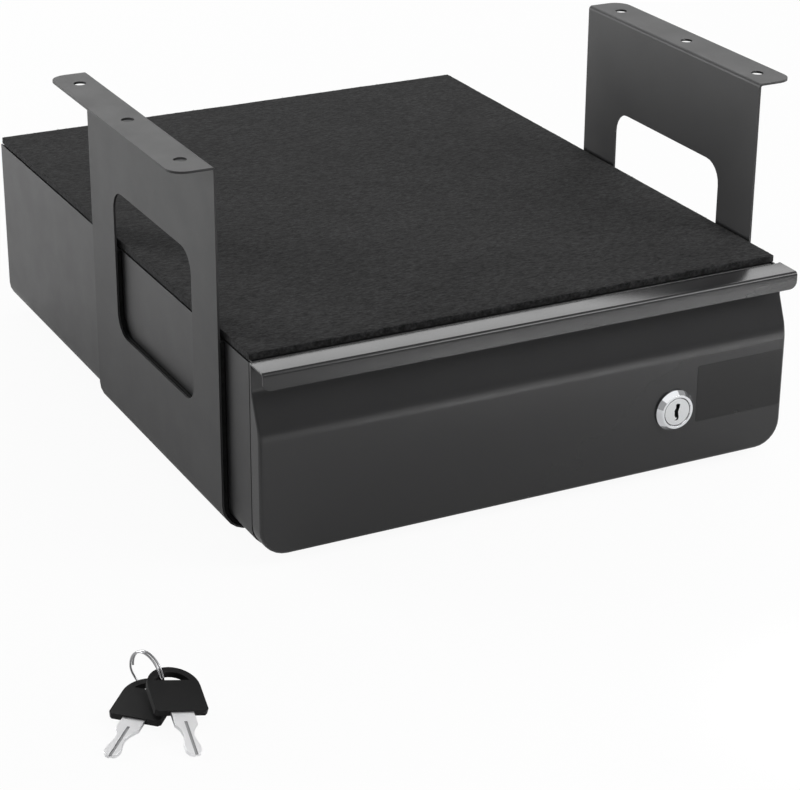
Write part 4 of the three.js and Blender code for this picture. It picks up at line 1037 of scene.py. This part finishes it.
low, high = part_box("lock_washer")
washer = on_lock_axis(turned_shape("lock_washer_plated", [
    (WASHER_BORE, low.y), (WASHER_RIM, low.y), (WASHER_RIM, high.y), (WASHER_BORE, high.y),
], steps=72, closed=True))
round_edges(washer, NUT_EDGE)
place(washer, zinc, "drawer", "zinc_steel", "lock_washer")
low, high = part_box("lock_nut")
wide_nut = hex_nut("lock_nut_plated", LOCK_NUT_ACROSS, high.y - low.y, LOCK_NUT_BORE)
wide_nut.data.transform(Matrix.Translation((0, 0, low.y)))
on_lock_axis(wide_nut)
round_edges(wide_nut, NUT_EDGE)
place(wide_nut, zinc, "drawer", "zinc_steel", "lock_nut")
low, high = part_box("cam_screw")
head = domed_head(CAM_SCREW_HEAD, HEAD_RISE, cross_slot(CAM_SCREW_SLOT, SLOT_WIDTH), SLOT_DEPTH)
shank = [(SMALL_THREAD, CAM_SCREW_NECK), (SMALL_THREAD, high.y - low.y - HEAD_RISE)]
cam_screw = turned_shape("cam_screw_plated", head + shank)
turned_over = Matrix.Rotation(math.pi, 4, "X")
cam_screw.data.transform(Matrix.Translation((0, 0, high.y - HEAD_RISE)) @ turned_over)
on_lock_axis(cam_screw)
place(cam_screw, zinc, "lock_core", "zinc_steel", "cam_screw")
for node, body in (("lock_cam", "lock_core"), ("lock_catch", "housing")):
    piece = merged_copy(f"{node}_plated", node)
    round_edges(piece, CAM_EDGE, segments=3)
    place(piece, zinc, body, "zinc_steel", node)

# Keys
# Two flat keys, steel blades moulded into black plastic bows, on a ring wound from spring wire.
# A groove is milled along both faces of each blade; its floor and walls get a darker steel, painted shade
# for the recess.
KEY_PLASTIC_COLOR = (0.005, 0.005, 0.0052, 1)
BLADE_COLOR = (0.93, 0.93, 0.94, 1)
# The groove's darker tone is painted shade in the recess.
GROOVE_SHADE_COLOR = (0.42, 0.42, 0.43, 1)
RING_COLOR = (0.4, 0.4, 0.41, 1)
BOW_EDGE = 0.5 * MM
BLADE_EDGE = 0.12 * MM
BLADE_THICKNESS = 1.6 * MM
GROOVE_SHALLOW = 0.1 * MM
GROOVE_DEEP = 0.6 * MM
RING_TURN = math.radians(108)
RING_SHIFT = 9.4 * MM
RING_X = -240 * MM + RING_SHIFT * math.cos(RING_TURN)
RING_Y = -219 * MM + RING_SHIFT * math.sin(RING_TURN)
RING_RADIUS = 10.5 * MM
RING_PITCH = 1.45 * MM
RING_WIRE = 0.5 * MM
RING_OVERLAP = 0.9
RING_STEPS = 180
RING_SMOOTH_ANGLE = math.radians(50)
key_plastic = finish(
    "key_plastic", KEY_PLASTIC_COLOR, roughness=0.5, ior=1.32, relief=0.25, speck_amount=0.02,
)
blade_steel = finish(
    "blade_steel", BLADE_COLOR, roughness=0.4, metallic=1.0, relief=0.12, tone_spread=0.1,
    gloss_spread=0.08, speck_amount=0.0,
)
groove_shaded_steel = finish(
    "groove_shaded_steel", GROOVE_SHADE_COLOR, roughness=0.3, metallic=1.0, relief=0.12, tone_spread=0.1,
    gloss_spread=0.08, speck_amount=0.0,
)
ring_steel = finish(
    "ring_steel", RING_COLOR, roughness=0.2, metallic=1.0, relief=0.03, tone_spread=0.05, speck_amount=0.0,
)
for number in (1, 2):
    bow = merged_copy(f"key_{number}_bow_moulded", f"key_{number}_bow")
    round_edges(bow, BOW_EDGE, segments=3)
    place(bow, key_plastic, f"key_{number}", "key_plastic", f"key_{number}_bow")
    blade = merged_copy(f"key_{number}_blade_milled", f"key_{number}_blade")
    round_edges(blade, BLADE_EDGE)
    place(blade, blade_steel, f"key_{number}", "key_steel", f"key_{number}_blade")
    # Faces inside the groove take the darker steel: painted shade for the recess.
    blade.data.materials.append(groove_shaded_steel)
    widest = max(blade.data.polygons, key=lambda face: face.area)
    for face in blade.data.polygons:
        depth = (widest.center - face.center).dot(widest.normal)
        in_groove = GROOVE_SHALLOW < min(depth, BLADE_THICKNESS - depth) < GROOVE_DEEP
        face.material_index = 1 if in_groove else 0


def wire_tree():
    """A round wire along a line of mesh edges, its ends closed."""
    tree, given, out = geometry_tree("wound_wire", [
        ("Radius", "NodeSocketFloat"), ("Finish", "NodeSocketMaterial"),
    ])
    path = add_node(tree, "GeometryNodeMeshToCurve", {"Mesh": given["Mesh"]})
    inputs = {"Resolution": 12, "Radius": given["Radius"]}
    section = add_node(tree, "GeometryNodeCurvePrimitiveCircle", inputs)
    wire = add_node(tree, "GeometryNodeCurveToMesh", {
        "Curve": path.outputs["Curve"], "Profile Curve": section.outputs["Curve"], "Fill Caps": True,
    })
    return finish_tree(tree, wire.outputs["Mesh"], given["Finish"], out)


def ring_point(angle, centre_z):
    """A point of the wound ring; the second turn steps over beside the first."""
    part = min(max((angle - 2 * math.pi + RING_OVERLAP) / RING_OVERLAP, 0), 1)
    across = (part * part * (3 - 2 * part) - 0.5) * RING_PITCH
    flat = Vector((RING_RADIUS * math.cos(angle), across, RING_RADIUS * math.sin(angle)))
    return Matrix.Rotation(RING_TURN, 3, "Z") @ flat + Vector((RING_X, RING_Y, centre_z))


low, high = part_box("key_ring")
turn_end = 4 * math.pi - RING_OVERLAP
centre_z = (low.z + high.z) / 2
points = [tuple(ring_point(turn_end * step / RING_STEPS, centre_z)) for step in range(RING_STEPS + 1)]
line = bpy.data.meshes.new("ring_line")
line.from_pydata(points, [(step, step + 1) for step in range(RING_STEPS)], [])
base = link_piece("ring_line", line)
ring = made_by(wire_tree(), "key_ring_wound", base, radius=RING_WIRE, finish=ring_steel)
smooth(ring, RING_SMOOTH_ANGLE)
place(ring, ring_steel, "ring", "key_steel", "key_ring")
